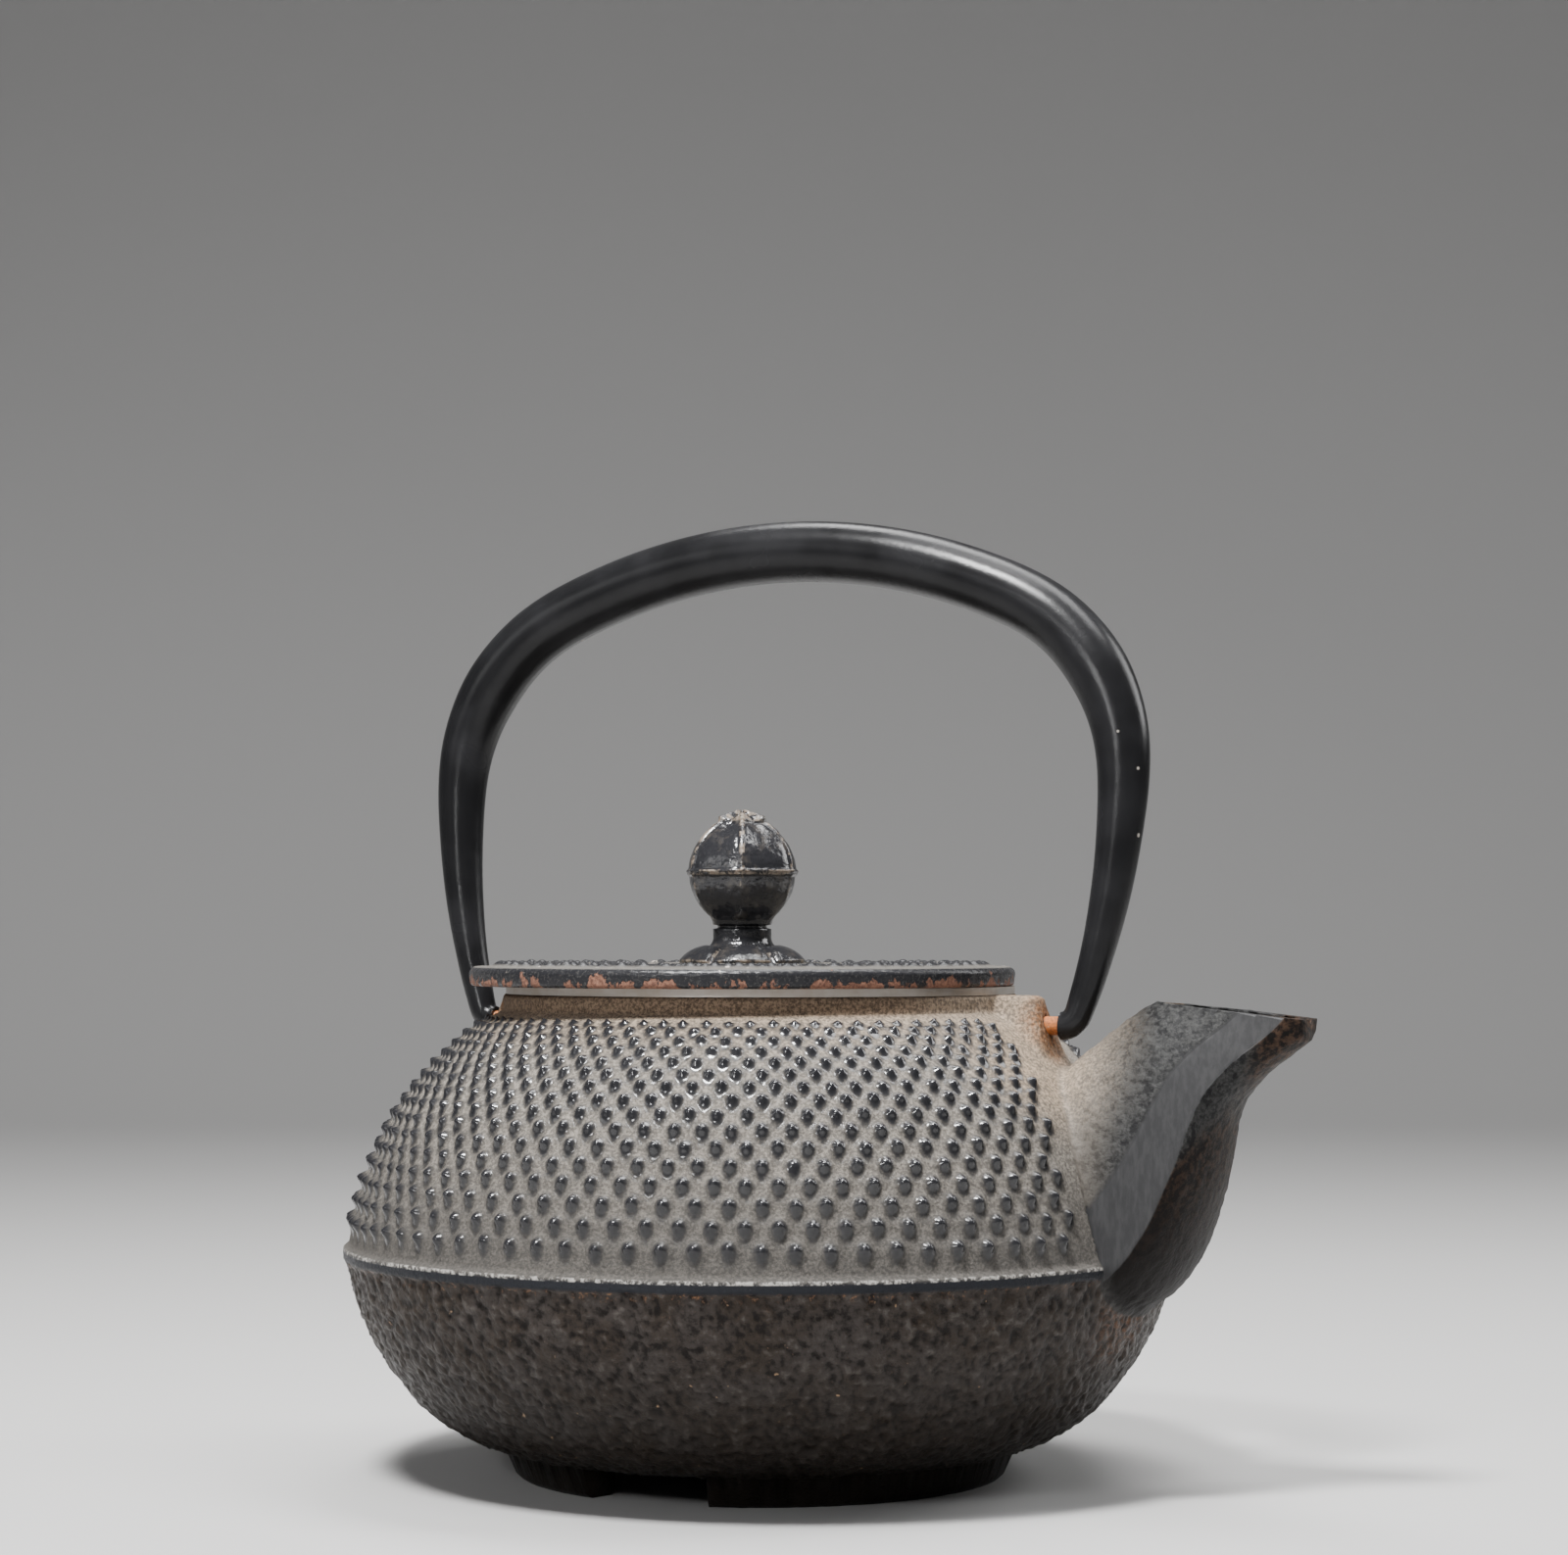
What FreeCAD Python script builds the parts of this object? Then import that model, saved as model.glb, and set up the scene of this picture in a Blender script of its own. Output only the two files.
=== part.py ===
import FreeCAD, Part
import os
from math import asin, cos, degrees, pi, radians, sin

# Hobnail cast-iron teapot with a lift-out tea infuser, a loose lid with a knob, and a
# swinging bail handle. Millimetres, +Z up, +X towards the spout, z = 0 on the table.
# Every shape is made about the pot's own axis and moved at export by FRAME_SHIFT, so
# that the origin lies under the middle of the whole outline.

V = FreeCAD.Vector
UP = V(0, 0, 1)
EAST = V(1, 0, 0)
CENTRE = V(0, 0, 0)

# --- pot casting: radius and height of the named points of its outline ---
BASE_RIM = (46.5, 5.5)
BOWL_LOW = (58.3, 10.7)
BOWL_MIDDLE = (65.3, 17.9)
BOWL_HIGH = (71.6, 28.5)
BOWL_TOP = (74.5, 38.6)
RIDGE_RADIUS = 75.3
RIDGE_BOTTOM = 39.4
RIDGE_TOP = 41.2
DOME_FOOT = (74.3, 42.0)
DOME_LOW = (70.1, 56.0)
DOME_MIDDLE = (65.0, 66.3)
DOME_HIGH = (58.6, 74.4)
DOME_TOP = (50.8, 81.4)
NECK_RADIUS = 46.6
NECK_FOOT = 83.7
NECK_TOP = 86.6
MOUTH_RADIUS = 41.5

# --- inside of the casting ---
CAVITY_FLOOR = 8.7
CAVITY_CORNER = (44.5, 8.7)
CAVITY_LOW = (63.0, 20.2)
CAVITY_WAIST = (71.4, 40.0)
CAVITY_HIGH = (66.3, 57.0)
CAVITY_TOP = (49.0, 79.0)
CAVITY_MOUTH = 81.5
ENAMEL = 0.4

# --- three long, low feet, with gaps between them ---
FOOT_COUNT = 3
FOOT_FIRST = -31.5
FOOT_SPAN = 90.0
FOOT_OUTER = (46.3, 44.4)
FOOT_INNER = (37.5, 38.5)

# --- ears that carry the handle pins; the pair sits a little towards the spout ---
EAR_SHIFT = 1.0
EAR_TOP_REACH = 53.3
EAR_TOP_HALF = 2.4
EAR_ROOT_REACH = 56.4
EAR_ROOT_HALF = 7.4
EAR_ROOT = 74.5
EAR_INNER = 43.0
PIN_AXIS = 81.3
PIN_RADIUS = 1.65
EAR_HOLE_RADIUS = 1.74
EAR_HOLE_REACH = 48.5

# --- spout: cross-sections fanning from upright at the wall to level at the lip ---
# each: back x, z; front x, z; place of the widest line from back to front; half-width
SPOUT_STATIONS = (
    (51.0, 67.0, 64.0, 34.0, 0.70, 15.0),
    (57.5, 72.6, 73.4, 32.4, 0.80, 19.0),
    (61.5, 75.6, 81.5, 39.9, 0.77, 17.6),
    (65.0, 78.2, 86.6, 53.0, 0.77, 15.0),
    (69.0, 81.4, 89.6, 66.2, 0.80, 12.0),
    (73.0, 84.2, 94.6, 72.9, 0.77, 9.3),
    (77.0, 86.9, 103.6, 80.0, 0.73, 6.4),
    (79.0, 90.5, 109.5, 87.0, 0.72, 5.0),
)
SPOUT_WALL = 2.6
SPOUT_CORNERS = 8
LIP_BACK = (76.0, 85.7)
LIP_TIP = (102.7, 82.9)
INLET_BACK = (53.0, 66.0)
INLET_FRONT = (62.0, 43.0)
INLET_HALF = 12.0

# --- lid, which lies off the pot's axis by its looseness ---
LID_OFFSET = V(-3.0, -1.4, 0)
LID_RADIUS = 49.4
LID_BOTTOM = 88.05
LID_TOP = 91.6
LID_FIELD_RADIUS = 46.0
LID_GROOVE = 0.5
LID_SKIRT_OUTER = 34.8
LID_SKIRT_INNER = 32.6
LID_SKIRT_BOTTOM = 84.2

# --- knob ---
SEAT_RADIUS = 11.3
SEAT_TOP = 94.6
SEAT_WAIST = 6.4
COLLAR_RADIUS = 5.2
COLLAR_TOP = 98.9
BALL_RADIUS = 10.05
BALL_CENTRE = 108.3
BALL_RIDGE = 0.5
STUD_RADIUS = 2.0
STUD_TOP = 106.0
STUD_BOTTOM = 83.2
WASHER_RADIUS = 6.0
WASHER_THICK = 1.0
NUT_ACROSS_FLATS = 7.0
NUT_THICK = 2.8

# --- bail handle: half of a symmetric arch, measured from the pin axis ---
HANDLE_SHIFT = 1.7
HANDLE_LEAN = 5.6
ARCH_TOP = 86.6
CROWN_RADIUS = 107.0
CROWN_HALF = 46.0
LEG_REACH = 66.3
LEG_RADIUS = 132.0
ELBOW_RADIUS = 3.2
TUBE_END_RADIUS = 2.5
TUBE_TOP_RADIUS = 5.55
TUBE_TAPER_FROM = 3.0
TUBE_TAPER = 0.051
TUBE_WALL = 0.8
PIN_TIP_REACH = 50.5
PIN_BEND = 55.0

# --- lift-out infuser ---
FLANGE_RADIUS = 46.1
FLANGE_BOTTOM = 86.65
FLANGE_THICK = 0.6
BEAD_WIDTH = 1.3
BEAD_TOP = 88.0
COLLAR_OUTER = 40.2
COLLAR_WALL = 0.6
COLLAR_BOTTOM = 79.0
MESH_THICK = 0.5
MESH_TOP = 84.0
MESH_BOTTOM = 48.0
BOTTOM_RING_INNER = 37.6
BOTTOM_RING_THICK = 0.6
BOTTOM_RING_LIP = 2.5
SEAM_WIDTH = 6.0
SEAM_THICK = 0.4
SEAM_ANGLE = 150.0

FRAME_SHIFT = V((RIDGE_RADIUS - LIP_TIP[0]) / 2, 0, 0)


def point(pair):
    """A (radius, height) or (x, z) pair as a point in the XZ plane."""
    return V(pair[0], 0, pair[1])


def line(start, end):
    return Part.makeLine(point(start), point(end))


def arc(start, middle, end):
    return Part.Arc(point(start), point(middle), point(end)).toShape()


def turned(edges, angle=360.0):
    """Solid made by turning a closed outline about the Z axis."""
    face = Part.Face(Part.Wire(edges))
    return face.revolve(CENTRE, UP, angle)


def turned_polygon(corners, angle=360.0):
    ring = list(corners) + [corners[0]]
    edges = [line(a, b) for a, b in zip(ring, ring[1:])]
    return turned(edges, angle)


def disc(radius, bottom, top):
    return Part.makeCylinder(radius, top - bottom, V(0, 0, bottom))


def ring(outer, inner, bottom, top):
    return disc(outer, bottom, top).cut(disc(inner, bottom - 1, top + 1))


# ---------------------------------------------------------------- pot casting


def casting_blank():
    """Bowl, ridge, hobnail dome and neck, before they are hollowed."""
    return turned([
        line((0, BASE_RIM[1]), BASE_RIM),
        arc(BASE_RIM, BOWL_LOW, BOWL_MIDDLE),
        arc(BOWL_MIDDLE, BOWL_HIGH, BOWL_TOP),
        line(BOWL_TOP, (RIDGE_RADIUS, RIDGE_BOTTOM)),
        line((RIDGE_RADIUS, RIDGE_BOTTOM), (RIDGE_RADIUS, RIDGE_TOP)),
        line((RIDGE_RADIUS, RIDGE_TOP), DOME_FOOT),
        arc(DOME_FOOT, DOME_LOW, DOME_MIDDLE),
        arc(DOME_MIDDLE, DOME_HIGH, DOME_TOP),
        line(DOME_TOP, (NECK_RADIUS, NECK_FOOT)),
        line((NECK_RADIUS, NECK_FOOT), (NECK_RADIUS, NECK_TOP)),
        line((NECK_RADIUS, NECK_TOP), (0, NECK_TOP)),
        line((0, NECK_TOP), (0, BASE_RIM[1])),
    ])


def cavity(inset=0.0):
    """Space inside the casting up to past the mouth; inset makes it smaller all round."""
    floor = (0, CAVITY_FLOOR + inset)
    corner = (CAVITY_CORNER[0] - 0.3 * inset, CAVITY_CORNER[1] + inset)
    low = (CAVITY_LOW[0] - 0.75 * inset, CAVITY_LOW[1] + 0.66 * inset)
    waist = (CAVITY_WAIST[0] - inset, CAVITY_WAIST[1])
    high = (CAVITY_HIGH[0] - 0.94 * inset, CAVITY_HIGH[1] - 0.34 * inset)
    top = (CAVITY_TOP[0] - 0.6 * inset, CAVITY_TOP[1] - 0.8 * inset)
    mouth = (MOUTH_RADIUS - inset, CAVITY_MOUTH - 0.6 * inset)
    above = (MOUTH_RADIUS - inset, NECK_TOP + 1)
    return turned([
        line(floor, corner),
        arc(corner, low, waist),
        arc(waist, high, top),
        line(top, mouth),
        line(mouth, above),
        line(above, (0, NECK_TOP + 1)),
        line((0, NECK_TOP + 1), floor),
    ])


def feet():
    outline = (
        (FOOT_INNER[0], BASE_RIM[1]),
        (FOOT_INNER[1], 0),
        (FOOT_OUTER[1], 0),
        (FOOT_OUTER[0], BASE_RIM[1]),
    )
    made = []
    for number in range(FOOT_COUNT):
        foot = turned_polygon(outline, FOOT_SPAN)
        middle = FOOT_FIRST + number * 360.0 / FOOT_COUNT
        foot.rotate(CENTRE, UP, middle - FOOT_SPAN / 2)
        made.append(foot)
    return made


def rectangle(inner, outer, half, height):
    corners = [(inner, -half), (outer, -half), (outer, half), (inner, half), (inner, -half)]
    return Part.makePolygon([V(x, y, height) for x, y in corners])


def ear(side):
    """Wedge on the neck; side is 1 at the spout and -1 behind."""
    top_end = EAR_SHIFT + side * EAR_TOP_REACH
    root_end = EAR_SHIFT + side * EAR_ROOT_REACH
    inner = side * EAR_INNER
    top = rectangle(inner, top_end, EAR_TOP_HALF, NECK_TOP)
    root = rectangle(inner, root_end, EAR_ROOT_HALF, EAR_ROOT)
    return Part.makeLoft([root, top], True, True)


def ear_hole(side):
    start = V(EAR_SHIFT + side * EAR_HOLE_REACH, 0, PIN_AXIS)
    return Part.makeCylinder(EAR_HOLE_RADIUS, EAR_ROOT_REACH, start, V(side, 0, 0))


# --------------------------------------------------------------------- spout


def spout_section(station, inset):
    """Closed rounded outline, symmetric about the XZ plane, widest at the parting line."""
    back = V(station[0], 0, station[1])
    front = V(station[2], 0, station[3])
    along = front - back
    length = along.Length - 2 * inset
    along.normalize()
    start = back + along * inset
    widest = station[4] * length
    half = station[5] - inset
    sides = []
    for side in (1, -1):
        points = []
        for corner in range(SPOUT_CORNERS + 1):
            angle = pi * corner / SPOUT_CORNERS
            reach = widest if cos(angle) > 0 else length - widest
            place = widest - reach * cos(angle)
            points.append(start + along * place + V(0, side * half * sin(angle), 0))
        curve = Part.BSplineCurve()
        if side < 0:
            points.reverse()
        curve.interpolate(Points=points, InitialTangent=V(0, side, 0), FinalTangent=V(0, -side, 0))
        sides.append(curve.toShape())
    return Part.Wire(sides)


def spout_blank():
    sections = [spout_section(station, 0) for station in SPOUT_STATIONS]
    return Part.makeLoft(sections, True, False)


def spout_channel():
    """Way from the cavity to the lip, a narrow inlet in the wall opening into the spout."""
    inlet = INLET_BACK + INLET_FRONT + (0.5, INLET_HALF)
    sections = [spout_section(inlet, 0)]
    sections += [spout_section(station, SPOUT_WALL) for station in SPOUT_STATIONS[2:]]
    return Part.makeLoft(sections, True, True)


def above_lip():
    """Everything over the ground lip and beyond the blunt end of the beak."""
    reach = LIP_TIP[0] - LIP_BACK[0]
    fall = LIP_BACK[1] - LIP_TIP[1]
    behind = (LIP_BACK[0] - reach, LIP_BACK[1] + fall)
    beyond = LIP_TIP[0] + reach
    high = LIP_BACK[1] + reach
    corners = (behind, LIP_TIP, (LIP_TIP[0], NECK_FOOT - reach), (beyond, NECK_FOOT - reach),
               (beyond, high), (behind[0], high), behind)
    face = Part.Face(Part.makePolygon([V(x, -NECK_RADIUS, z) for x, z in corners]))
    return face.extrude(V(0, 2 * NECK_RADIUS, 0))


def pot_bowl():
    """Lower half of the casting, up to the underside of the ridge."""
    lower = disc(RIDGE_RADIUS + 1, 0, RIDGE_BOTTOM)
    return casting_blank().cut(cavity()).common(lower).removeSplitter()


def pot_dome():
    """Upper half of the casting, with the neck, both ears and the way into the spout."""
    upper = disc(RIDGE_RADIUS + 1, RIDGE_BOTTOM, NECK_TOP)
    dome = casting_blank().common(upper).multiFuse([ear(1), ear(-1)])
    dome = dome.cut(cavity())
    dome = dome.cut(spout_channel())
    for side in (1, -1):
        dome = dome.cut(ear_hole(side))
    return dome.removeSplitter()


def pot_spout():
    """The part of the spout that stands out of the bowl and the dome."""
    spout = spout_blank().cut(above_lip())
    spout = spout.cut(casting_blank())
    spout = spout.cut(ear(1))
    return spout.cut(spout_channel()).removeSplitter()


def pot_feet():
    return Part.makeCompound(feet())


def enamel_lining():
    lining = cavity().cut(cavity(ENAMEL))
    lining = lining.common(disc(RIDGE_RADIUS, 0, NECK_TOP))
    return lining.cut(spout_channel())


# ---------------------------------------------------------------- lid and knob


def on_lid(shape):
    shape.translate(LID_OFFSET)
    return shape


def lid_plate():
    groove_outer = LID_FIELD_RADIUS + 2 * LID_GROOVE
    plate = turned([
        line((0, LID_BOTTOM), (LID_RADIUS - 0.8, LID_BOTTOM)),
        line((LID_RADIUS - 0.8, LID_BOTTOM), (LID_RADIUS, LID_BOTTOM + 0.8)),
        line((LID_RADIUS, LID_BOTTOM + 0.8), (LID_RADIUS, LID_TOP - 1.2)),
        arc((LID_RADIUS, LID_TOP - 1.2), (LID_RADIUS - 0.4, LID_TOP - 0.4),
            (LID_RADIUS - 1.2, LID_TOP)),
        line((LID_RADIUS - 1.2, LID_TOP), (groove_outer, LID_TOP)),
        line((groove_outer, LID_TOP), (LID_FIELD_RADIUS + LID_GROOVE, LID_TOP - LID_GROOVE)),
        line((LID_FIELD_RADIUS + LID_GROOVE, LID_TOP - LID_GROOVE), (LID_FIELD_RADIUS, LID_TOP)),
        line((LID_FIELD_RADIUS, LID_TOP), (0, LID_TOP)),
        line((0, LID_TOP), (0, LID_BOTTOM)),
    ])
    skirt = ring(LID_SKIRT_OUTER, LID_SKIRT_INNER, LID_SKIRT_BOTTOM, LID_BOTTOM)
    stud_hole = disc(STUD_RADIUS, LID_BOTTOM - 1, LID_TOP + 1)
    return on_lid(plate.fuse(skirt).cut(stud_hole).removeSplitter())


def knob_seat():
    """Flared petal rosette between the lid and the knob's collar."""
    edges = [
        line((STUD_RADIUS, LID_TOP), (SEAT_RADIUS, LID_TOP)),
        line((SEAT_RADIUS, LID_TOP), (SEAT_RADIUS, LID_TOP + 0.7)),
        arc((SEAT_RADIUS, LID_TOP + 0.7), (SEAT_WAIST + 1.4, LID_TOP + 1.4), (SEAT_WAIST, SEAT_TOP)),
        line((SEAT_WAIST, SEAT_TOP), (STUD_RADIUS, SEAT_TOP)),
        line((STUD_RADIUS, SEAT_TOP), (STUD_RADIUS, LID_TOP)),
    ]
    return on_lid(turned(edges))


def lid_knob():
    """Ball with a moulded line round its middle, on a short collar."""
    ball = Part.makeSphere(BALL_RADIUS, V(0, 0, BALL_CENTRE))
    girdle = turned_polygon((
        (BALL_RADIUS - 2, BALL_CENTRE - 1.5),
        (BALL_RADIUS + BALL_RIDGE, BALL_CENTRE - 0.3),
        (BALL_RADIUS + BALL_RIDGE, BALL_CENTRE + 0.3),
        (BALL_RADIUS - 2, BALL_CENTRE + 1.5),
    ))
    collar = disc(COLLAR_RADIUS, SEAT_TOP, COLLAR_TOP + 1)
    stud_hole = disc(STUD_RADIUS, SEAT_TOP - 1, STUD_TOP)
    return on_lid(ball.multiFuse([girdle, collar]).cut(stud_hole).removeSplitter())


def knob_stud():
    return on_lid(disc(STUD_RADIUS, STUD_BOTTOM, STUD_TOP))


def knob_washer():
    return on_lid(ring(WASHER_RADIUS, STUD_RADIUS, LID_BOTTOM - WASHER_THICK, LID_BOTTOM))


def knob_nut():
    top = LID_BOTTOM - WASHER_THICK
    corner = NUT_ACROSS_FLATS / 2 / cos(radians(30))
    corners = [V(corner * cos(radians(60 * i)), corner * sin(radians(60 * i)), top - NUT_THICK)
               for i in range(6)]
    hexagon = Part.Face(Part.makePolygon(corners + [corners[0]]))
    nut = hexagon.extrude(V(0, 0, NUT_THICK))
    return on_lid(nut.cut(disc(STUD_RADIUS, top - NUT_THICK - 1, top + 1)))


# --------------------------------------------------------------------- handle


def arch_path():
    """Right half of the handle's centre line as (x, height, direction), top to pin.

    Three tangent arcs, the crown, the shoulder and the leg, then a tight elbow that
    turns in to the pin. direction is the path's downward angle from +X, in radians.
    """
    crown_centre = ARCH_TOP - CROWN_RADIUS
    crown_angle = asin(CROWN_HALF / CROWN_RADIUS)
    shoulder = (LEG_REACH - CROWN_HALF) / (1 - sin(crown_angle))
    shoulder_x = LEG_REACH - shoulder
    shoulder_height = crown_centre + (CROWN_RADIUS - shoulder) * cos(crown_angle)
    leg_x = LEG_REACH - LEG_RADIUS
    leg_angle = leg_end_angle(shoulder_height)
    end_x = leg_x + (LEG_RADIUS - ELBOW_RADIUS) * cos(leg_angle)
    arcs = (
        (0, crown_centre, CROWN_RADIUS, 0, crown_angle, 6),
        (shoulder_x, shoulder_height, shoulder, crown_angle, pi / 2, 6),
        (leg_x, shoulder_height, LEG_RADIUS, pi / 2, pi / 2 + leg_angle, 5),
        (end_x, ELBOW_RADIUS, ELBOW_RADIUS, pi / 2 + leg_angle, pi, 6),
    )
    path = [(0, ARCH_TOP, 0)]
    for x, height, radius, first, last, steps in arcs:
        for step in range(1, steps + 1):
            angle = first + (last - first) * step / steps
            path.append((x + radius * sin(angle), height + radius * cos(angle), angle))
    return path


def leg_end_angle(leg_height):
    """Angle through which the leg turns in before the elbow, from the widest point."""
    angle = 0.0
    for _ in range(20):
        start = ELBOW_RADIUS * (1 - sin(angle))
        angle = asin((leg_height - start) / LEG_RADIUS)
    return angle


def tube_radius(height):
    tapered = TUBE_END_RADIUS + TUBE_TAPER * max(height - TUBE_TAPER_FROM, 0)
    return min(tapered, TUBE_TOP_RADIUS)


def tube_sections(thinner):
    """Circles along the whole arch, from the rear end to the front end."""
    half = arch_path()
    mirrored = [(-x, height, -angle) for x, height, angle in reversed(half[1:])]
    sections = []
    for x, height, angle in mirrored + half:
        direction = V(cos(angle), 0, -sin(angle))
        circle = Part.Circle(V(x, 0, height), direction, tube_radius(height) - thinner)
        sections.append(Part.Wire([circle.toShape()]))
    return sections


def on_ears(shape):
    """Stand the handle on its pins, pushed towards the spout and leaning a little."""
    shape.rotate(CENTRE, EAST, -HANDLE_LEAN)
    shape.translate(V(HANDLE_SHIFT, 0, PIN_AXIS))
    return shape


def handle_tube():
    outer = Part.makeLoft(tube_sections(0), True, False)
    bore = Part.makeLoft(tube_sections(TUBE_WALL), True, False)
    return on_ears(outer.cut(bore))


def handle_pin(side):
    """Bare steel pin: straight in the ear, bent up inside the end of the tube."""
    end_x = arch_path()[-1][0]
    straight = Part.makeCylinder(PIN_RADIUS, end_x - PIN_TIP_REACH, V(PIN_TIP_REACH, 0, 0), EAST)
    face = Part.Face(Part.Wire([Part.Circle(V(end_x, 0, 0), EAST, PIN_RADIUS).toShape()]))
    bend = face.revolve(V(end_x, 0, ELBOW_RADIUS), V(0, -1, 0), PIN_BEND)
    pin = straight.fuse(bend)
    if side < 0:
        pin = pin.mirror(CENTRE, EAST)
    return on_ears(pin)


# -------------------------------------------------------------------- infuser


def infuser_rim():
    """Pressed flange with a rolled edge, and the short collar that hangs from it."""
    bore = COLLAR_OUTER - COLLAR_WALL
    flange_top = FLANGE_BOTTOM + FLANGE_THICK
    return turned_polygon((
        (bore, COLLAR_BOTTOM),
        (COLLAR_OUTER, COLLAR_BOTTOM),
        (COLLAR_OUTER, FLANGE_BOTTOM),
        (FLANGE_RADIUS, FLANGE_BOTTOM),
        (FLANGE_RADIUS, BEAD_TOP),
        (FLANGE_RADIUS - BEAD_WIDTH, BEAD_TOP),
        (FLANGE_RADIUS - BEAD_WIDTH, flange_top),
        (bore, flange_top),
    ))


def infuser_mesh_wall():
    outer = COLLAR_OUTER - COLLAR_WALL
    return ring(outer, outer - MESH_THICK, MESH_BOTTOM, MESH_TOP)


def infuser_bottom_ring():
    """Angle ring that holds the lower edge of the mesh wall and the rim of the mesh floor."""
    wall = COLLAR_OUTER - COLLAR_WALL
    bottom = MESH_BOTTOM - BOTTOM_RING_THICK
    return turned_polygon((
        (BOTTOM_RING_INNER, bottom),
        (wall + BOTTOM_RING_THICK, bottom),
        (wall + BOTTOM_RING_THICK, MESH_BOTTOM + BOTTOM_RING_LIP),
        (wall, MESH_BOTTOM + BOTTOM_RING_LIP),
        (wall, MESH_BOTTOM),
        (BOTTOM_RING_INNER, MESH_BOTTOM),
    ))


def infuser_mesh_floor():
    radius = COLLAR_OUTER - COLLAR_WALL - MESH_THICK
    return disc(radius, MESH_BOTTOM, MESH_BOTTOM + MESH_THICK)


def infuser_seam_strip():
    wall = COLLAR_OUTER - COLLAR_WALL
    bottom = MESH_BOTTOM + BOTTOM_RING_LIP
    half_angle = degrees(SEAM_WIDTH / 2 / wall)
    strip = turned_polygon((
        (wall, bottom),
        (wall + SEAM_THICK, bottom),
        (wall + SEAM_THICK, COLLAR_BOTTOM),
        (wall, COLLAR_BOTTOM),
    ), 2 * half_angle)
    strip.rotate(CENTRE, UP, SEAM_ANGLE - half_angle)
    return strip


NODES = {
    "pot_bowl": pot_bowl,
    "pot_dome": pot_dome,
    "pot_spout": pot_spout,
    "pot_feet": pot_feet,
    "enamel_lining": enamel_lining,
    "lid_plate": lid_plate,
    "lid_knob": lid_knob,
    "knob_seat": knob_seat,
    "knob_stud": knob_stud,
    "knob_washer": knob_washer,
    "knob_nut": knob_nut,
    "handle_tube": handle_tube,
    "handle_pin_front": lambda: handle_pin(1),
    "handle_pin_rear": lambda: handle_pin(-1),
    "infuser_rim": infuser_rim,
    "infuser_mesh_wall": infuser_mesh_wall,
    "infuser_seam_strip": infuser_seam_strip,
    "infuser_bottom_ring": infuser_bottom_ring,
    "infuser_mesh_floor": infuser_mesh_floor,
}


def main():
    os.makedirs("parts", exist_ok=True)
    for name, make in NODES.items():
        shape = make()
        shape.translate(FRAME_SHIFT)
        solids = len(shape.Solids)
        print(name, "solids", solids, "valid", shape.isValid(), "volume", round(shape.Volume, 1))
        shape.exportStep("parts/" + name + ".step")


main()
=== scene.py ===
import math
from contextlib import contextmanager

import bmesh
import bpy
import numpy as np
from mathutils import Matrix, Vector, noise
from mathutils.bvhtree import BVHTree
from mathutils.kdtree import KDTree


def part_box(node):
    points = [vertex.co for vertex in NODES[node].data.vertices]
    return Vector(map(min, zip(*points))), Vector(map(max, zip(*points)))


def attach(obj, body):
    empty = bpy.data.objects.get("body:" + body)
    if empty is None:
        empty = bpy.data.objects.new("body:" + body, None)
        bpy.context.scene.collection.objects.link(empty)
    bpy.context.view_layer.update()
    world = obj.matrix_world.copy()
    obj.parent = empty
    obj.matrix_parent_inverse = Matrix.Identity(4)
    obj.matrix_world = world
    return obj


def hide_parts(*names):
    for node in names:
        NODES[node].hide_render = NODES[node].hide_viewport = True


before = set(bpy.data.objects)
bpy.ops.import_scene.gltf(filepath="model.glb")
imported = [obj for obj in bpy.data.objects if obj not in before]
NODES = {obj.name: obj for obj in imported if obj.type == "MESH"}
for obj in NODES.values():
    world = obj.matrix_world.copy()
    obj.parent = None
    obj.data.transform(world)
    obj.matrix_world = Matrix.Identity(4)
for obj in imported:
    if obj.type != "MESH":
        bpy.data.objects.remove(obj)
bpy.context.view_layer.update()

# A hobnail cast-iron teapot with a lift-out infuser. Shapes are worked out in millimetres
# about the pot's own axis, with +X towards the spout, and turned into metres in the frame.

MM = 0.001
rng = np.random.default_rng(41)


def middle(node):
    low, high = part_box(node)
    return (low + high) / 2


AXIS_X = middle("infuser_rim").x
POT_X = AXIS_X / MM
LID_AXIS = ((middle("lid_plate").x - AXIS_X) / MM, middle("lid_plate").y / MM)

# --- pot casting: radius and height of the named points of its outline ---
BASE_RIM = (46.5, 5.5)
BOWL_LOW = (58.3, 10.7)
BOWL_MIDDLE = (65.3, 17.9)
BOWL_HIGH = (71.6, 28.5)
BOWL_TOP = (74.5, 38.6)
RIDGE_RADIUS = 75.3
RIDGE_BOTTOM = 39.4
RIDGE_TOP = 41.2
DOME_FOOT = (74.3, 42.0)
DOME_LOW = (70.1, 56.0)
DOME_MIDDLE = (65.0, 66.3)
DOME_HIGH = (58.6, 74.4)
DOME_TOP = (50.8, 81.4)
NECK_RADIUS = 46.6
NECK_FOOT = 83.7
NECK_TOP = 86.6

CAVITY = ((44.5, 8.7), (63.0, 20.2), (71.4, 40.0), (66.3, 57.0), (49.0, 79.0), (41.5, 81.5))

# heights, and the radius between the inner and the outer face of the wall at each of them
DOME_WALL = ((42, 56, 66, 74, 81), (72, 68, 63, 56.5, 49))
CASTING_WALL = ((5, 9, 20, 40, 57, 79, 87), (0, 46.5, 65, 73, 68, 46, 46))

# feet: outer and inner radius at the root and at the sole, height of the root, degrees
FOOT_OUTER = (46.3, 44.4)
FOOT_INNER = (37.5, 38.5)
FOOT_ROOT = 7.0
FOOT_SPAN = 90.0
FOOT_FIRST = -31.5

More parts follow.
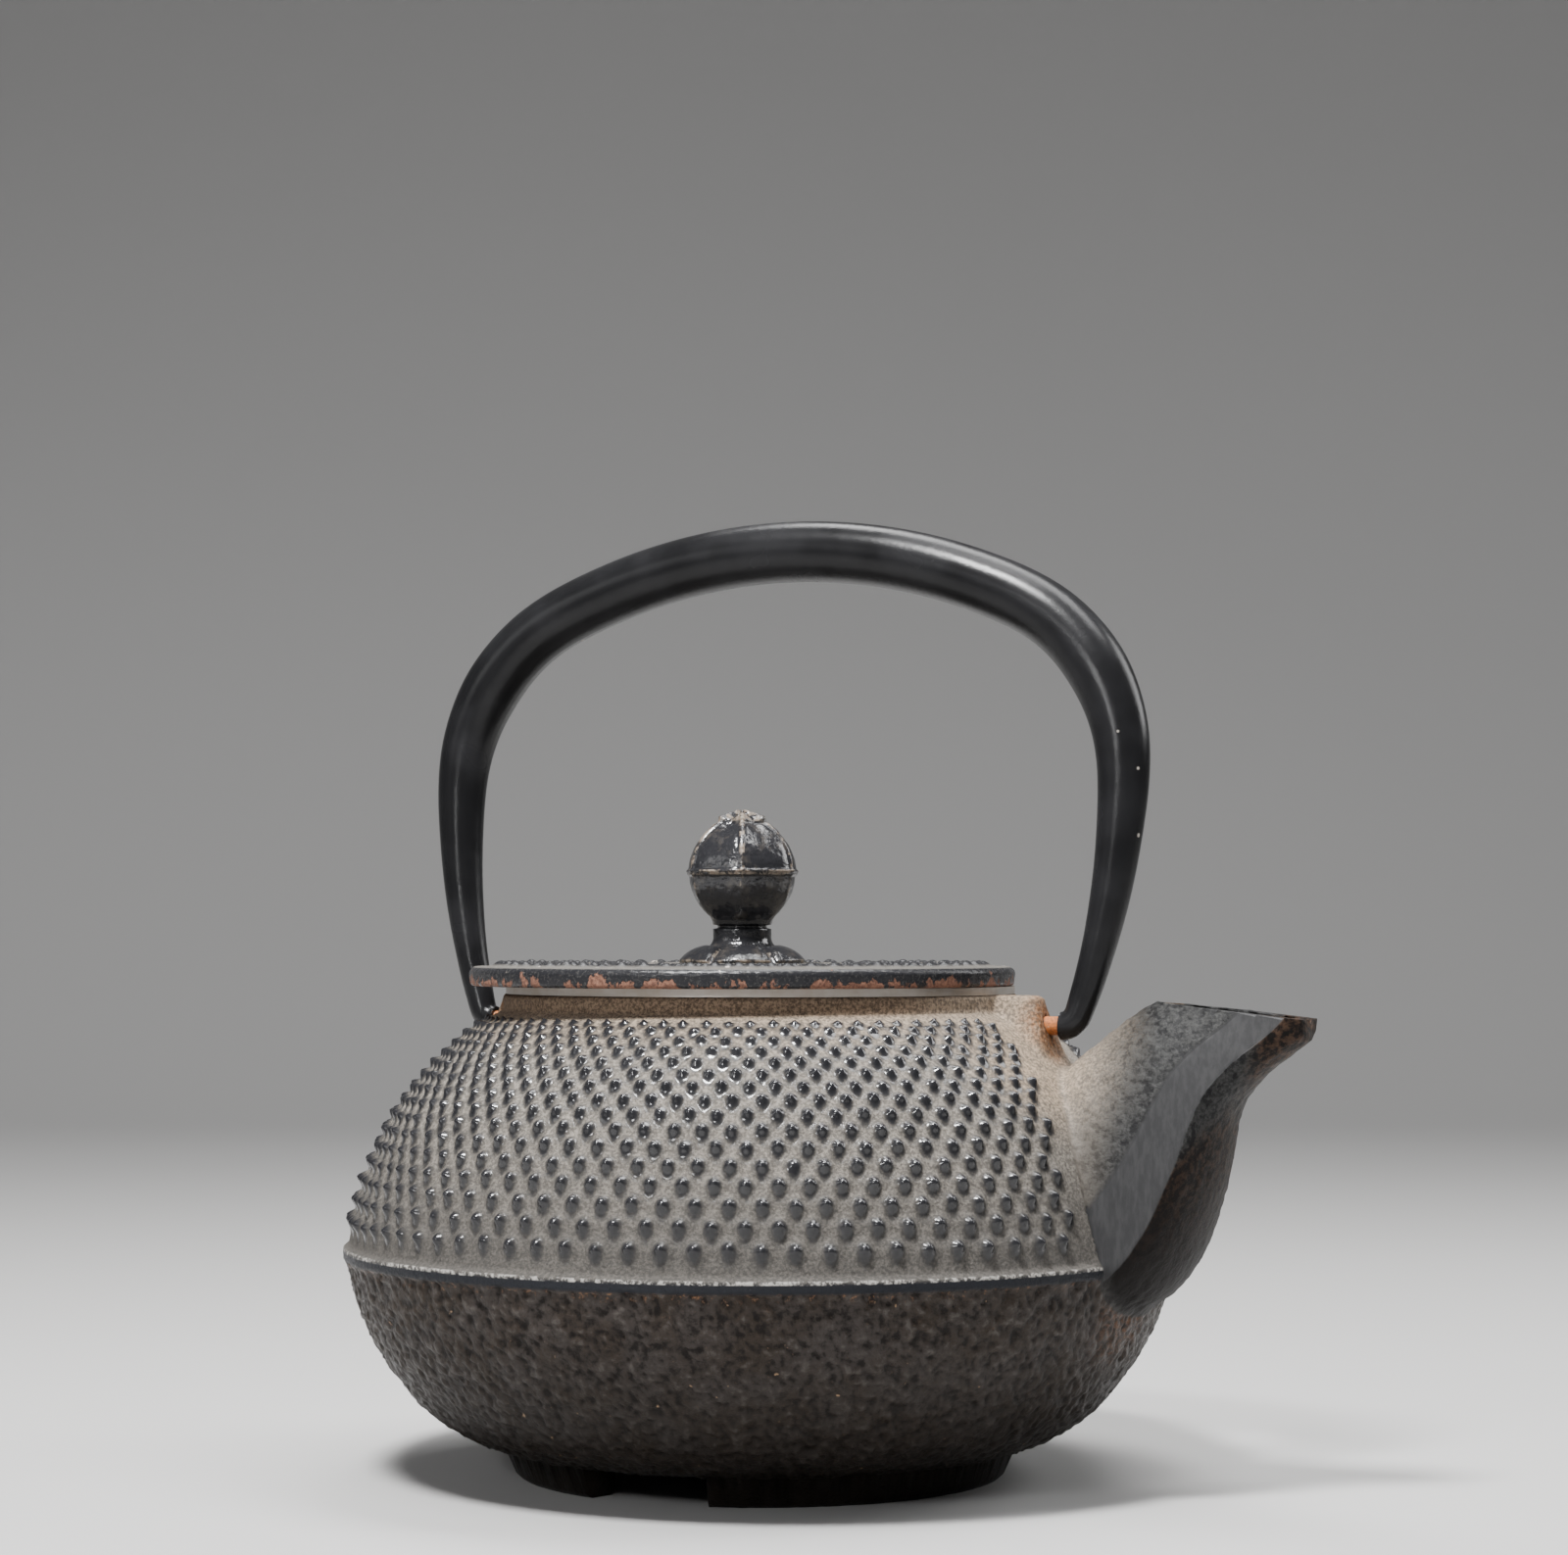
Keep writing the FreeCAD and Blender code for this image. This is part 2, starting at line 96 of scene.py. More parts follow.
# ears: distance from the middle between them and half-width, at the top and at the root
EAR_SHIFT = 1.0
EAR_TOP = (53.3, 2.4)
EAR_ROOT = (56.4, 7.4)
EAR_ROOT_HEIGHT = 74.5
EAR_INNER = 43.0
PIN_AXIS = 81.3
EAR_HOLE_RADIUS = 1.74
EAR_HOLE_REACH = 48.5

# back x, z; front x, z; place of the widest line from back to front; half-width
SPOUT_STATIONS = np.array((
    (51.0, 67.0, 64.0, 34.0, 0.70, 15.0),
    (57.5, 72.6, 73.4, 32.4, 0.80, 19.0),
    (61.5, 75.6, 81.5, 39.9, 0.77, 17.6),
    (65.0, 78.2, 86.6, 53.0, 0.77, 15.0),
    (69.0, 81.4, 89.6, 66.2, 0.80, 12.0),
    (73.0, 84.2, 94.6, 72.9, 0.77, 9.3),
    (77.0, 86.9, 103.6, 80.0, 0.73, 6.4),
    (79.0, 90.5, 109.5, 87.0, 0.72, 5.0),
))
CHANNEL_INLET = (53.0, 66.0, 62.0, 43.0, 0.5, 12.0)
SPOUT_WALL = 2.6
LIP_BACK = (76.0, 85.7)
LIP_TIP = (102.7, 82.9)
FACET_CUT = 0.965
# x beyond which a point may be on the spout, and beyond which it must be
SPOUT_STARTS = 55
ALL_SPOUT_BEYOND = 80

# --- sand-cast grain: depth of the coarse and of the fine bumps ---
BOWL_GRAIN = (0.46, 0.34)
SPOUT_GRAIN = (0.18, 0.08)
PLAIN_GRAIN = 0.08

# --- hobnails; pairs run from the top row to the bottom row ---
HOB_COUNT = 84
HOB_ROWS = 16
HOB_COLUMNS = 12
HOB_START = -1.95
HOB_SPACING = 2.50
HOB_SPREAD = 0.00215
HOB_TURN = math.radians(-0.5)
HOB_RADIUS = (1.60, 3.10)
HOB_HEIGHT = (0.85, 1.75)
# reach of the dust-free patch, which also holds painted shade below each hobnail
HOB_BARE_AND_SHADE = (1.05, 0.62)
HOB_WOBBLE = 0.12
# a round cap on a wider cone: reach of the cap, then the share of the height each one makes
HOB_CAP = 0.50
CAP_SHARE = 0.42
CONE_SHARE = 0.58
# how fast the dust-free patch ends below and above a hobnail; below it reaches further, as painted shade
# on the underside
BARE_AND_SHADE_ENDS = (0.50, 1.05)
# degrees kept clear on each side of the spout, and how far that widens to the bottom row
SPOUT_CLEAR = 12.5
SPOUT_CLEAR_GROWS = 6.5
REAR_CLEAR = 10.5
REAR_CLEAR_ROWS = 5


# --- mesh tools ---


def arc(start, through, end, step):
    """Points on the circle through three points, from start up to but not including end."""
    (ax, ay), (bx, by), (cx, cy) = start, through, end
    d = 2 * (ax * (by - cy) + bx * (cy - ay) + cx * (ay - by))
    a2, b2, c2 = ax * ax + ay * ay, bx * bx + by * by, cx * cx + cy * cy
    ux = (a2 * (by - cy) + b2 * (cy - ay) + c2 * (ay - by)) / d
    uy = (a2 * (cx - bx) + b2 * (ax - cx) + c2 * (bx - ax)) / d
    radius = math.hypot(ax - ux, ay - uy)
    first = math.atan2(ay - uy, ax - ux)
    turn = math.atan2(cy - uy, cx - ux) - first
    turn = (turn + math.pi) % (2 * math.pi) - math.pi
    steps = max(2, round(abs(turn) * radius / step))
    angles = first + turn * np.arange(steps) / steps
    return [(ux + radius * math.cos(t), uy + radius * math.sin(t)) for t in angles]


def line(start, end, step):
    """Points on a straight run, from start up to but not including end."""
    steps = max(1, round(math.dist(start, end) / step))
    return [tuple(np.array(start) + (np.array(end) - start) * i / steps) for i in range(steps)]


def trace(start, *moves):
    """Points along a chain of moves, without its end.

    A move is its step and the end of a straight run, or its step and the middle and end of an arc.
    """
    points = []
    for step, *stops in moves:
        draw = line if len(stops) == 1 else arc
        points += draw(start, *stops, step)
        start = stops[-1]
    return points


def grid_faces(rows, columns, wrap_rows=False, wrap_columns=True):
    """Quads of a grid whose points are numbered row by row."""
    r = np.arange(rows if wrap_rows else rows - 1)
    c = np.arange(columns if wrap_columns else columns - 1)
    r, c = np.meshgrid(r, c, indexing="ij")
    down, right = (r + 1) % rows, (c + 1) % columns
    quads = (r * columns + c, down * columns + c, down * columns + right, r * columns + right)
    return np.stack(quads, -1).reshape(-1, 4).tolist()


def make_object(name, points, faces):
    """A new object from points in millimetres about the pot's axis."""
    points = np.asarray(points, float).reshape(-1, 3) * MM
    points[:, 0] += AXIS_X
    mesh = bpy.data.meshes.new(name)
    mesh.from_pydata(points.tolist(), [], faces)
    mesh.polygons.foreach_set("use_smooth", [True] * len(mesh.polygons))
    thing = bpy.data.objects.new(name, mesh)
    bpy.context.scene.collection.objects.link(thing)
    return thing


def fan(first, columns, centre, outwards):
    """Triangles from one ring of points to a centre point."""
    turned = [(first + (c + 1) % columns, first + c, centre) for c in range(columns)]
    return turned if outwards else [(b, a, m) for a, b, m in turned]


def capped(name, points, columns, ends):
    """Closed solid from rings of points and a middle point for each end."""
    count = len(points)
    faces = grid_faces(count // columns, columns)
    faces += fan(0, columns, count, False)
    faces += fan(count - columns, columns, count + 1, True)
    return make_object(name, np.vstack((points, ends)), faces)


def spin(outline, columns, centre):
    """Points of an outline turned round an upright axis, ring by ring."""
    angles = np.arange(columns) * 2 * math.pi / columns
    x = centre[0] + outline[:, :1] * np.cos(angles)
    y = centre[1] + outline[:, :1] * np.sin(angles)
    z = outline[:, 1:] + 0 * angles
    return np.stack((x, y, z), -1).reshape(-1, 3)


def lathe(name, outline, columns, centre=(0.0, 0.0)):
    """Closed solid turned from an outline that runs from the top to the foot of its axis."""
    outline = np.array(outline)
    ends = [(*centre, outline[0, 1]), (*centre, outline[-1, 1])]
    return capped(name, spin(outline[1:-1], columns, centre), columns, ends)


def turned_ring(name, outline, columns, centre):
    """Closed solid turned from a closed outline that keeps clear of the axis."""
    faces = grid_faces(len(outline), columns, wrap_rows=True)
    return make_object(name, spin(np.array(outline), columns, centre), faces)


def loft(name, sections):
    """Closed solid through a stack of rings with the same number of points."""
    sections = np.array(sections)
    ends = [sections[0].mean(0), sections[-1].mean(0)]
    return capped(name, sections.reshape(-1, 3), sections.shape[1], ends)


@contextmanager
def editing(thing):
    """The object's mesh opened for editing, and written back afterwards."""
    shape = bmesh.new()
    shape.from_mesh(thing.data)
    yield shape
    shape.to_mesh(thing.data)
    shape.free()


def outward(thing):
    """Turn every face of a closed mesh to look outwards."""
    with editing(thing) as shape:
        bmesh.ops.recalc_face_normals(shape, faces=shape.faces)
    return thing


def settle(thing):
    """Make the object's modifiers part of its mesh."""
    graph = bpy.context.evaluated_depsgraph_get()
    mesh = bpy.data.meshes.new_from_object(thing.evaluated_get(graph))
    thing.modifiers.clear()
    thing.data = mesh
    mesh.polygons.foreach_set("use_smooth", [True] * len(mesh.polygons))


def combine(target, tool, operation):
    """Join the tool to the target or cut it out, and remove the tool."""
    outward(tool)
    cut = target.modifiers.new("combine", "BOOLEAN")
    cut.operation = operation
    cut.solver = "MANIFOLD"
    cut.object = tool
    settle(target)
    bpy.data.objects.remove(tool)


def read_points(thing):
    """The object's points in millimetres about the pot's axis, and their normals."""
    count = len(thing.data.vertices)
    points = np.empty(count * 3)
    normals = np.empty(count * 3)
    thing.data.vertices.foreach_get("co", points)
    thing.data.vertices.foreach_get("normal", normals)
    points = points.reshape(-1, 3)
    points[:, 0] -= AXIS_X
    return points / MM, normals.reshape(-1, 3)


def write_points(thing, points):
    points = points * MM
    points[:, 0] += AXIS_X
    thing.data.vertices.foreach_set("co", points.ravel())
    thing.data.update()


def store(thing, name, values):
    """Keep a number for each point of the mesh, for the materials to read."""
    layer = thing.data.attributes.new(name, "FLOAT", "POINT")
    layer.data.foreach_set("value", np.asarray(values, float))


def grain(points, size, seed):
    """Smooth noise from -1 to 1 at each point; size is the width of its bumps."""
    shift = Vector((seed * 17.3, seed * 5.1, seed * 9.7))
    return np.array([noise.noise(Vector(p) / size + shift) for p in points])


def smoothstep(value, low, high):
    t = np.clip((value - low) / (high - low), 0, 1)
    return t * t * (3 - 2 * t)


def between(pair, share):
    """The number at a share of the way from the first of a pair to the second."""
    return pair[0] + (pair[1] - pair[0]) * share


RELAX_STEP = 0.6


def relax(thing, weights, rounds):
    """Even out the mesh where the weights say so, which rounds off inner corners."""
    points, _ = read_points(thing)
    edges = np.empty(len(thing.data.edges) * 2, int)
    thing.data.edges.foreach_get("vertices", edges)
    a, b = edges.reshape(-1, 2).T
    near = (weights[a] > 0) | (weights[b] > 0)
    a, b = a[near], b[near]
    count = np.bincount(a, minlength=len(points)) + np.bincount(b, minlength=len(points))
    count = np.maximum(count, 1)[:, None]
    for _ in range(rounds):
        total = np.zeros_like(points)
        for axis in range(3):
            total[:, axis] = np.bincount(a, points[b, axis], len(points))
            total[:, axis] += np.bincount(b, points[a, axis], len(points))
        points += (weights * RELAX_STEP)[:, None] * (total / count - points)
    write_points(thing, points)


def distances(points, tree, chosen):
    """Distance from each chosen point to a surface, and a large number for the others."""
    found = np.full(len(points), 1e3)
    for i in np.nonzero(chosen)[0]:
        found[i] = tree.find_nearest(Vector(points[i]))[3]
    return found


def surface_of(thing):
    points, _ = read_points(thing)
    faces = [tuple(face.vertices) for face in thing.data.polygons]
    return BVHTree.FromPolygons(points.tolist(), faces)


# --- pot casting ---


def casting_outline():
    """From the top of the axis to its foot, fine enough for the hobnails."""
    rim = 0.8
    outline = trace(
        (NECK_RADIUS - 6, NECK_TOP),
        (1.3, (NECK_RADIUS - rim, NECK_TOP)),
        (0.3, (NECK_RADIUS - 0.3 * rim, NECK_TOP - 0.3 * rim), (NECK_RADIUS, NECK_TOP - rim)),
        (0.6, (NECK_RADIUS, NECK_FOOT)),
        (0.45, DOME_TOP),
        (0.42, DOME_HIGH, DOME_MIDDLE),
        (0.48, DOME_LOW, DOME_FOOT),
        (0.4, (RIDGE_RADIUS, RIDGE_TOP)),
        (0.45, (RIDGE_RADIUS, RIDGE_BOTTOM)),
        (0.5, BOWL_TOP),
        (0.7, BOWL_HIGH, BOWL_MIDDLE),
        (0.7, BOWL_LOW, BASE_RIM),
        (3.0, (10, BASE_RIM[1])))
    return [(0, NECK_TOP), *outline, (0, BASE_RIM[1])]


def cavity():
    """The hollow of the bowl and the dome, open upwards through the neck."""
    corner, low, waist, high, top, mouth = CAVITY
    above = NECK_TOP + 3
    wall = trace(top, (1.5, high, waist), (1.5, low, corner))
    outline = [(0, above), (mouth[0], above), mouth, *wall, corner, (0, corner[1])]
    return lathe("cavity", outline, 360)


def spout_rings(stations, steps, columns, inset, facet):
    """Rounded rings between the stations, each widest at the mould's parting line."""
    spans = len(stations) - 1
    padded = np.vstack((2 * stations[0] - stations[1], stations, 2 * stations[-1] - stations[-2]))
    angles = np.arange(columns) * 2 * math.pi / columns
    rings = []
    for step in range(spans * steps + 1):
        span = min(step // steps, spans - 1)
        t = step / steps - span
        p0, p1, p2, p3 = padded[span:span + 4]
        values = 0.5 * (2 * p1 + (p2 - p0) * t + (2 * p0 - 5 * p1 + 4 * p2 - p3) * t ** 2
                        + (3 * p1 - p0 - 3 * p2 + p3) * t ** 3)
        back, front = values[:2], values[2:4]
        along = (front - back) / np.linalg.norm(front - back)
        length = np.linalg.norm(front - back) - 2 * inset
        widest = values[4] * length
        half = values[5] - inset
        reach = np.where(np.cos(angles) > 0, widest, length - widest)
        place = inset + widest - reach * np.cos(angles)
        side = np.clip(half * np.sin(angles), -facet * half, facet * half)
        rings.append(np.stack((back[0] + along[0] * place, side, back[1] + along[1] * place), -1))
    return rings


def blank_rings(facet):
    """The spout's outer rings, with the sides cut flat at a share of their half-width."""
    return np.array(spout_rings(SPOUT_STATIONS, 14, 168, 0, facet))


def cut_flat(thing, place, normal):
    """Slice a closed mesh with a plane and keep what lies behind it."""
    place = Vector((place[0] * MM + AXIS_X, place[1] * MM, place[2] * MM))
    with editing(thing) as shape:
        everything = shape.verts[:] + shape.edges[:] + shape.faces[:]
        cut = bmesh.ops.bisect_plane(shape, geom=everything, plane_co=place, plane_no=normal,
                                     clear_outer=True)
        edges = [e for e in cut["geom_cut"] if isinstance(e, bmesh.types.BMEdge)]
        bmesh.ops.holes_fill(shape, edges=edges)


def spout_blank():
    """The spout as a solid, cut off along its lip."""
    thing = outward(loft("spout", blank_rings(FACET_CUT)))
    slope = Vector((LIP_BACK[1] - LIP_TIP[1], 0, LIP_TIP[0] - LIP_BACK[0]))
    for normal in (slope, Vector((1, 0, 0))):
        cut_flat(thing, (LIP_TIP[0], 0, LIP_TIP[1]), normal)
    return thing


def channel():
    """The spout's inside, from the hollow of the pot to past the lip."""
    stations = np.vstack((CHANNEL_INLET, SPOUT_STATIONS[2:]))
    return loft("channel", spout_rings(stations, 8, 72, SPOUT_WALL, 1.0))


def ear(side):
    """Wedge with soft edges on the neck; side is 1 at the spout and -1 behind."""
    near = side * EAR_INNER
    rings = []
    for (reach, half), height in ((EAR_ROOT, EAR_ROOT_HEIGHT), (EAR_TOP, NECK_TOP)):
        far = EAR_SHIFT + side * reach
        corners = ((near, -half), (far, -half), (far, half), (near, half))
        rings.append([(x, y, height) for x, y in corners])
    thing = loft("ear", rings)
    with editing(thing) as shape:
        sharp = [e for e in shape.edges if len(e.link_faces) == 2 and e.calc_face_angle() > 0.5]
        bmesh.ops.bevel(shape, geom=sharp, offset=1.3 * MM, segments=4, profile=0.5, affect="EDGES")
        for _ in range(2):
            long_edges = [e for e in shape.edges if e.calc_length() > 1.5 * MM]
            bmesh.ops.subdivide_edges(shape, edges=long_edges, cuts=2, use_grid_fill=True)
        bmesh.ops.triangulate(shape, faces=shape.faces)
    return thing


def ear_hole(side):
    """The blind hole that a hinge pin turns in."""
    angles = np.arange(32) * 2 * math.pi / 32
    y = EAR_HOLE_RADIUS * np.cos(angles)
    z = PIN_AXIS + EAR_HOLE_RADIUS * np.sin(angles)
    rings = []
    for reach in (EAR_HOLE_REACH, EAR_HOLE_REACH + 12):
        x = EAR_SHIFT + side * reach + 0 * angles
        rings.append(np.stack((x, y, z), -1))
    return loft("ear_hole", rings)


def foot(number):
    """A long low foot: an arc of a ring that narrows towards the table."""
    middle_angle = FOOT_FIRST + number * 120.0
    inner, outer = FOOT_INNER, FOOT_OUTER
    soft = 0.7
    section = ((inner[0], FOOT_ROOT), (inner[0], BASE_RIM[1]), (inner[1] - 0.1, soft),
               (inner[1] + soft, 0), (outer[1] - soft, 0), (outer[1] + 0.1, soft),
               (outer[0], BASE_RIM[1]), (outer[0], FOOT_ROOT))
    rings = []
    for angle in np.radians(np.linspace(-FOOT_SPAN / 2, FOOT_SPAN / 2, 61) + middle_angle):
        rings.append([(r * math.cos(angle), r * math.sin(angle), z) for r, z in section])
    return loft("foot", rings)


def nearest_hobnails(row_number, turn, rows, count, first_turn, stagger_from):
    """Each point's nearest hobnail in the row on either side: its row, angle and random numbers."""
    pitch = 2 * math.pi / count
    wobble = rng.normal(0, 1, (rows, count, 3))
    for offset in (0, 1):
        row = np.clip(np.floor(row_number).astype(int) + offset, 0, rows - 1)
        stagger = 0.5 * ((row + stagger_from) % 2)
        number = np.round((turn - first_turn) / pitch - stagger).astype(int)
        yield row, (number + stagger) * pitch + first_turn, wobble[row, number % count]


def hobnail_places(points):
    """Height of the hobnails at each point of the dome, and how free of dust each point is, with painted
    shade below each hobnail counted as free of dust.
    """
    neck_foot = (NECK_RADIUS, NECK_FOOT)
    outline = trace(neck_foot, (0.5, DOME_TOP), (0.5, DOME_HIGH, DOME_MIDDLE), (0.5, DOME_LOW, DOME_FOOT))
    outline = np.array(outline + [DOME_FOOT])
    steps = np.linalg.norm(np.diff(outline, axis=0), axis=1)
    travel = np.concatenate(([0], np.cumsum(steps))) - math.dist(neck_foot, DOME_TOP)
    down = np.interp(-points[:, 2], -outline[:, 1], travel)
    rows = np.arange(HOB_ROWS)
    starts = HOB_START + HOB_SPACING * rows + HOB_SPREAD * rows ** 3
    row_number = np.interp(down, starts, rows)
    radius_here = np.hypot(points[:, 0], points[:, 1])
    turn = np.arctan2(points[:, 1], points[:, 0])
    height = np.zeros(len(points))
    bare_and_shade = np.zeros(len(points))
    for row, centre, shake in nearest_hobnails(row_number, turn, HOB_ROWS, HOB_COUNT, HOB_TURN, 1):
        part = row / (HOB_ROWS - 1)
        size = between(HOB_RADIUS, part)
        tall = between(HOB_HEIGHT, part)
        across = (turn - centre) * radius_here + HOB_WOBBLE * shake[:, 0]
        along = down - starts[row] + HOB_WOBBLE * shake[:, 1]
        away = np.minimum(np.hypot(across, along * 0.95) / size, 1)
        clear = hobnail_allowed(centre, row)
        cap = (1 - np.minimum(away / HOB_CAP, 1) ** 2) ** 2
        peak = CAP_SHARE * cap + CONE_SHARE * (1 - away ** 1.25) ** 1.7
        height = np.maximum(height, clear * tall * (1 + 0.10 * shake[:, 2]) * peak)
        # painted shade: the dark, dust-free patch reaches further below each hobnail than above it
        reach = size * between(HOB_BARE_AND_SHADE, part)
        fall = along * np.where(along > 0, *BARE_AND_SHADE_ENDS)
        bare_and_shade = np.maximum(bare_and_shade, clear * (1 - np.minimum(np.hypot(across, fall) / reach, 1)))
    inside = (points[:, 2] > DOME_FOOT[1]) & (points[:, 2] < NECK_FOOT)
    return height * inside, bare_and_shade * inside


def hobnail_allowed(turn, row):
    """No hobnails under the spout or round the rear ear."""
    spout_gap = SPOUT_CLEAR + SPOUT_CLEAR_GROWS * smoothstep(row, 0, HOB_ROWS - 1)
    turn = np.abs(np.degrees((turn + math.pi) % (2 * math.pi) - math.pi))
    rear = (turn > 180 - REAR_CLEAR) & (row < REAR_CLEAR_ROWS)
    return (turn > spout_gap) & ~rear


def pot_casting():
    """Bowl, dome, spout, ears and feet in one piece, hollow, with their surface relief."""
    thing = outward(lathe("pot_casting", casting_outline(), HOB_COUNT * HOB_COLUMNS))
    plain = surface_of(thing)
    spout = spout_blank()
    spout_surface = surface_of(spout)
    facet_rings = blank_rings(FACET_CUT).reshape(-1, 3)
    round_rings = blank_rings(1.0).reshape(-1, 3)
    ground = np.linalg.norm(facet_rings - round_rings, axis=1) > 1e-6
    for tool in [spout] + [ear(side) for side in (1, -1)] + [foot(n) for n in range(3)]:
        combine(thing, tool, "UNION")
    points, _ = read_points(thing)
    x, y, z = points.T
    by_spout = x > 50
    apart = np.maximum(distances(points, plain, by_spout), distances(points, spout_surface, by_spout))
    weights = smoothstep(-apart, -3.5, -0.3)
    neck = np.abs(np.hypot(x - EAR_SHIFT, y) - NECK_RADIUS) < 12
    by_ear = neck & (np.abs(y) < 9.5) & (z > EAR_ROOT_HEIGHT) & (z < NECK_TOP - 1)
    relax(thing, np.maximum(weights, 0.35 * by_ear), 24)
    for tool in (cavity(), channel(), ear_hole(1), ear_hole(-1)):
        combine(thing, tool, "DIFFERENCE")
    finish_casting(thing, facet_rings, ground)
    return thing


def spout_marks(points, spout_points, ground):
    """1 for each point that is on the spout, and 1 for each that is on its filed flats."""
    tree = KDTree(len(spout_points))
    for number, place in enumerate(spout_points):
        tree.insert(Vector(place), number)
    tree.balance()
    spout = np.zeros(len(points))
    facet = np.zeros(len(points))
    for i in np.nonzero(points[:, 0] > SPOUT_STARTS)[0]:
        _, number, apart = tree.find(Vector(points[i]))
        if apart < 1.0 or points[i][0] > ALL_SPOUT_BEYOND:
            spout[i] = 1
            facet[i] = ground[number] * (apart < 1.0)
    return spout, facet


def finish_casting(thing, spout_points, ground):
    """Raise the hobnails and the sand-cast grain, and note where each kind of surface is."""
    points, normals = read_points(thing)
    spout, facet = spout_marks(points, spout_points, ground)
    radius = np.hypot(points[:, 0], points[:, 1])
    z = points[:, 2]
    height, bare_and_shade = hobnail_places(points)
    on_dome = (1 - spout) * (radius > np.interp(z, *DOME_WALL))
    height *= on_dome
    bare_and_shade *= on_dome
    outside = (spout > 0) | (radius > np.interp(z, *CASTING_WALL))
    coarse = grain(points * (1, 1, 1.35), 1.9, 1)
    fine = grain(points, 0.9, 2)
    bowl = outside * (1 - spout) * (z < RIDGE_BOTTOM - 0.3) * (z > BASE_RIM[1] - 1)
    rough = bowl * (BOWL_GRAIN[0] * coarse + BOWL_GRAIN[1] * fine)
    rough += spout * (1 - facet) * (SPOUT_GRAIN[0] * coarse + SPOUT_GRAIN[1] * fine)
    rough += outside * (1 - bowl) * (1 - spout) * PLAIN_GRAIN * fine
    write_points(thing, points + normals * (height + rough)[:, None])
    # dust-free lacquer at the hobnail tips, together with painted shade below each hobnail
    store(thing, "bare_and_shade", bare_and_shade)
    store(thing, "relief", 0.5 + 0.32 * coarse + 0.36 * fine)
    store(thing, "ground", facet)
    store(thing, "spout", spout)


# --- lid ---

LID_TOP = 91.6
LID_BOTTOM = 88.05
LID_RADIUS = 49.4
LID_FIELD = 46.0
LID_HOB_COUNT = 66
LID_HOB_ROWS = 10
LID_SKIRT = (34.8, 32.6, 84.2)
STUD_RADIUS = 2.0

# one ring of hobnails to the next, as a share of its radius, so that they stay evenly packed
LID_HOB_SHRINK = 1 - 0.866 * 2 * math.pi / LID_HOB_COUNT
LID_HOB_FIRST = 43.7
LID_HOB_RADIUS = 2.0
LID_HOB_HEIGHT = 0.95
LID_HOB_WOBBLE = 0.08


def lid_outline():
    """Closed outline of the lid, from the hole for the stud out over the top and back."""
    inner_field = LID_HOB_FIRST * LID_HOB_SHRINK ** (LID_HOB_ROWS - 0.3)
    outline = [(STUD_RADIUS, LID_BOTTOM), (STUD_RADIUS, LID_TOP)]
    outline += trace(
        (STUD_RADIUS + 1, LID_TOP),
        (1.2, (inner_field - 2.0, LID_TOP)),
        (0.3, (inner_field - 1.2, LID_TOP + 0.6), (inner_field - 0.4, LID_TOP)))
    rows = int(math.log(LID_FIELD / inner_field) / -math.log(LID_HOB_SHRINK) * 9)
    outline += [(inner_field * (LID_FIELD / inner_field) ** (i / rows), LID_TOP) for i in range(rows)]
    skirt_out, skirt_in, skirt_low = LID_SKIRT
    outline += trace(
        (LID_FIELD, LID_TOP),
        (0.2, (LID_FIELD + 0.5, LID_TOP - 0.5)),
        (0.2, (LID_FIELD + 1.0, LID_TOP)),
        (0.4, (LID_RADIUS - 1.3, LID_TOP - 0.05)),
        (0.25, (LID_RADIUS - 0.35, LID_TOP - 0.5), (LID_RADIUS, LID_TOP - 1.3)),
        (0.3, (LID_RADIUS - 0.1, LID_BOTTOM + 0.7)),
        (0.2, (LID_RADIUS - 0.35, LID_BOTTOM + 0.2), (LID_RADIUS - 0.9, LID_BOTTOM)),
        (1.0, (skirt_out, LID_BOTTOM)),
        (0.8, (skirt_out, skirt_low + 0.4)),
        (0.5, ((skirt_out + skirt_in) / 2, skirt_low), (skirt_in, skirt_low + 0.4)),
        (0.8, (skirt_in, LID_BOTTOM)),
        (3.0, (STUD_RADIUS, LID_BOTTOM)))
    return outline


def round_the_lid(points):
    """Each point's distance from the lid's axis, and its angle round that axis."""
    away = points[:, :2] - LID_AXIS
    return np.hypot(*away.T), np.arctan2(away[:, 1], away[:, 0])


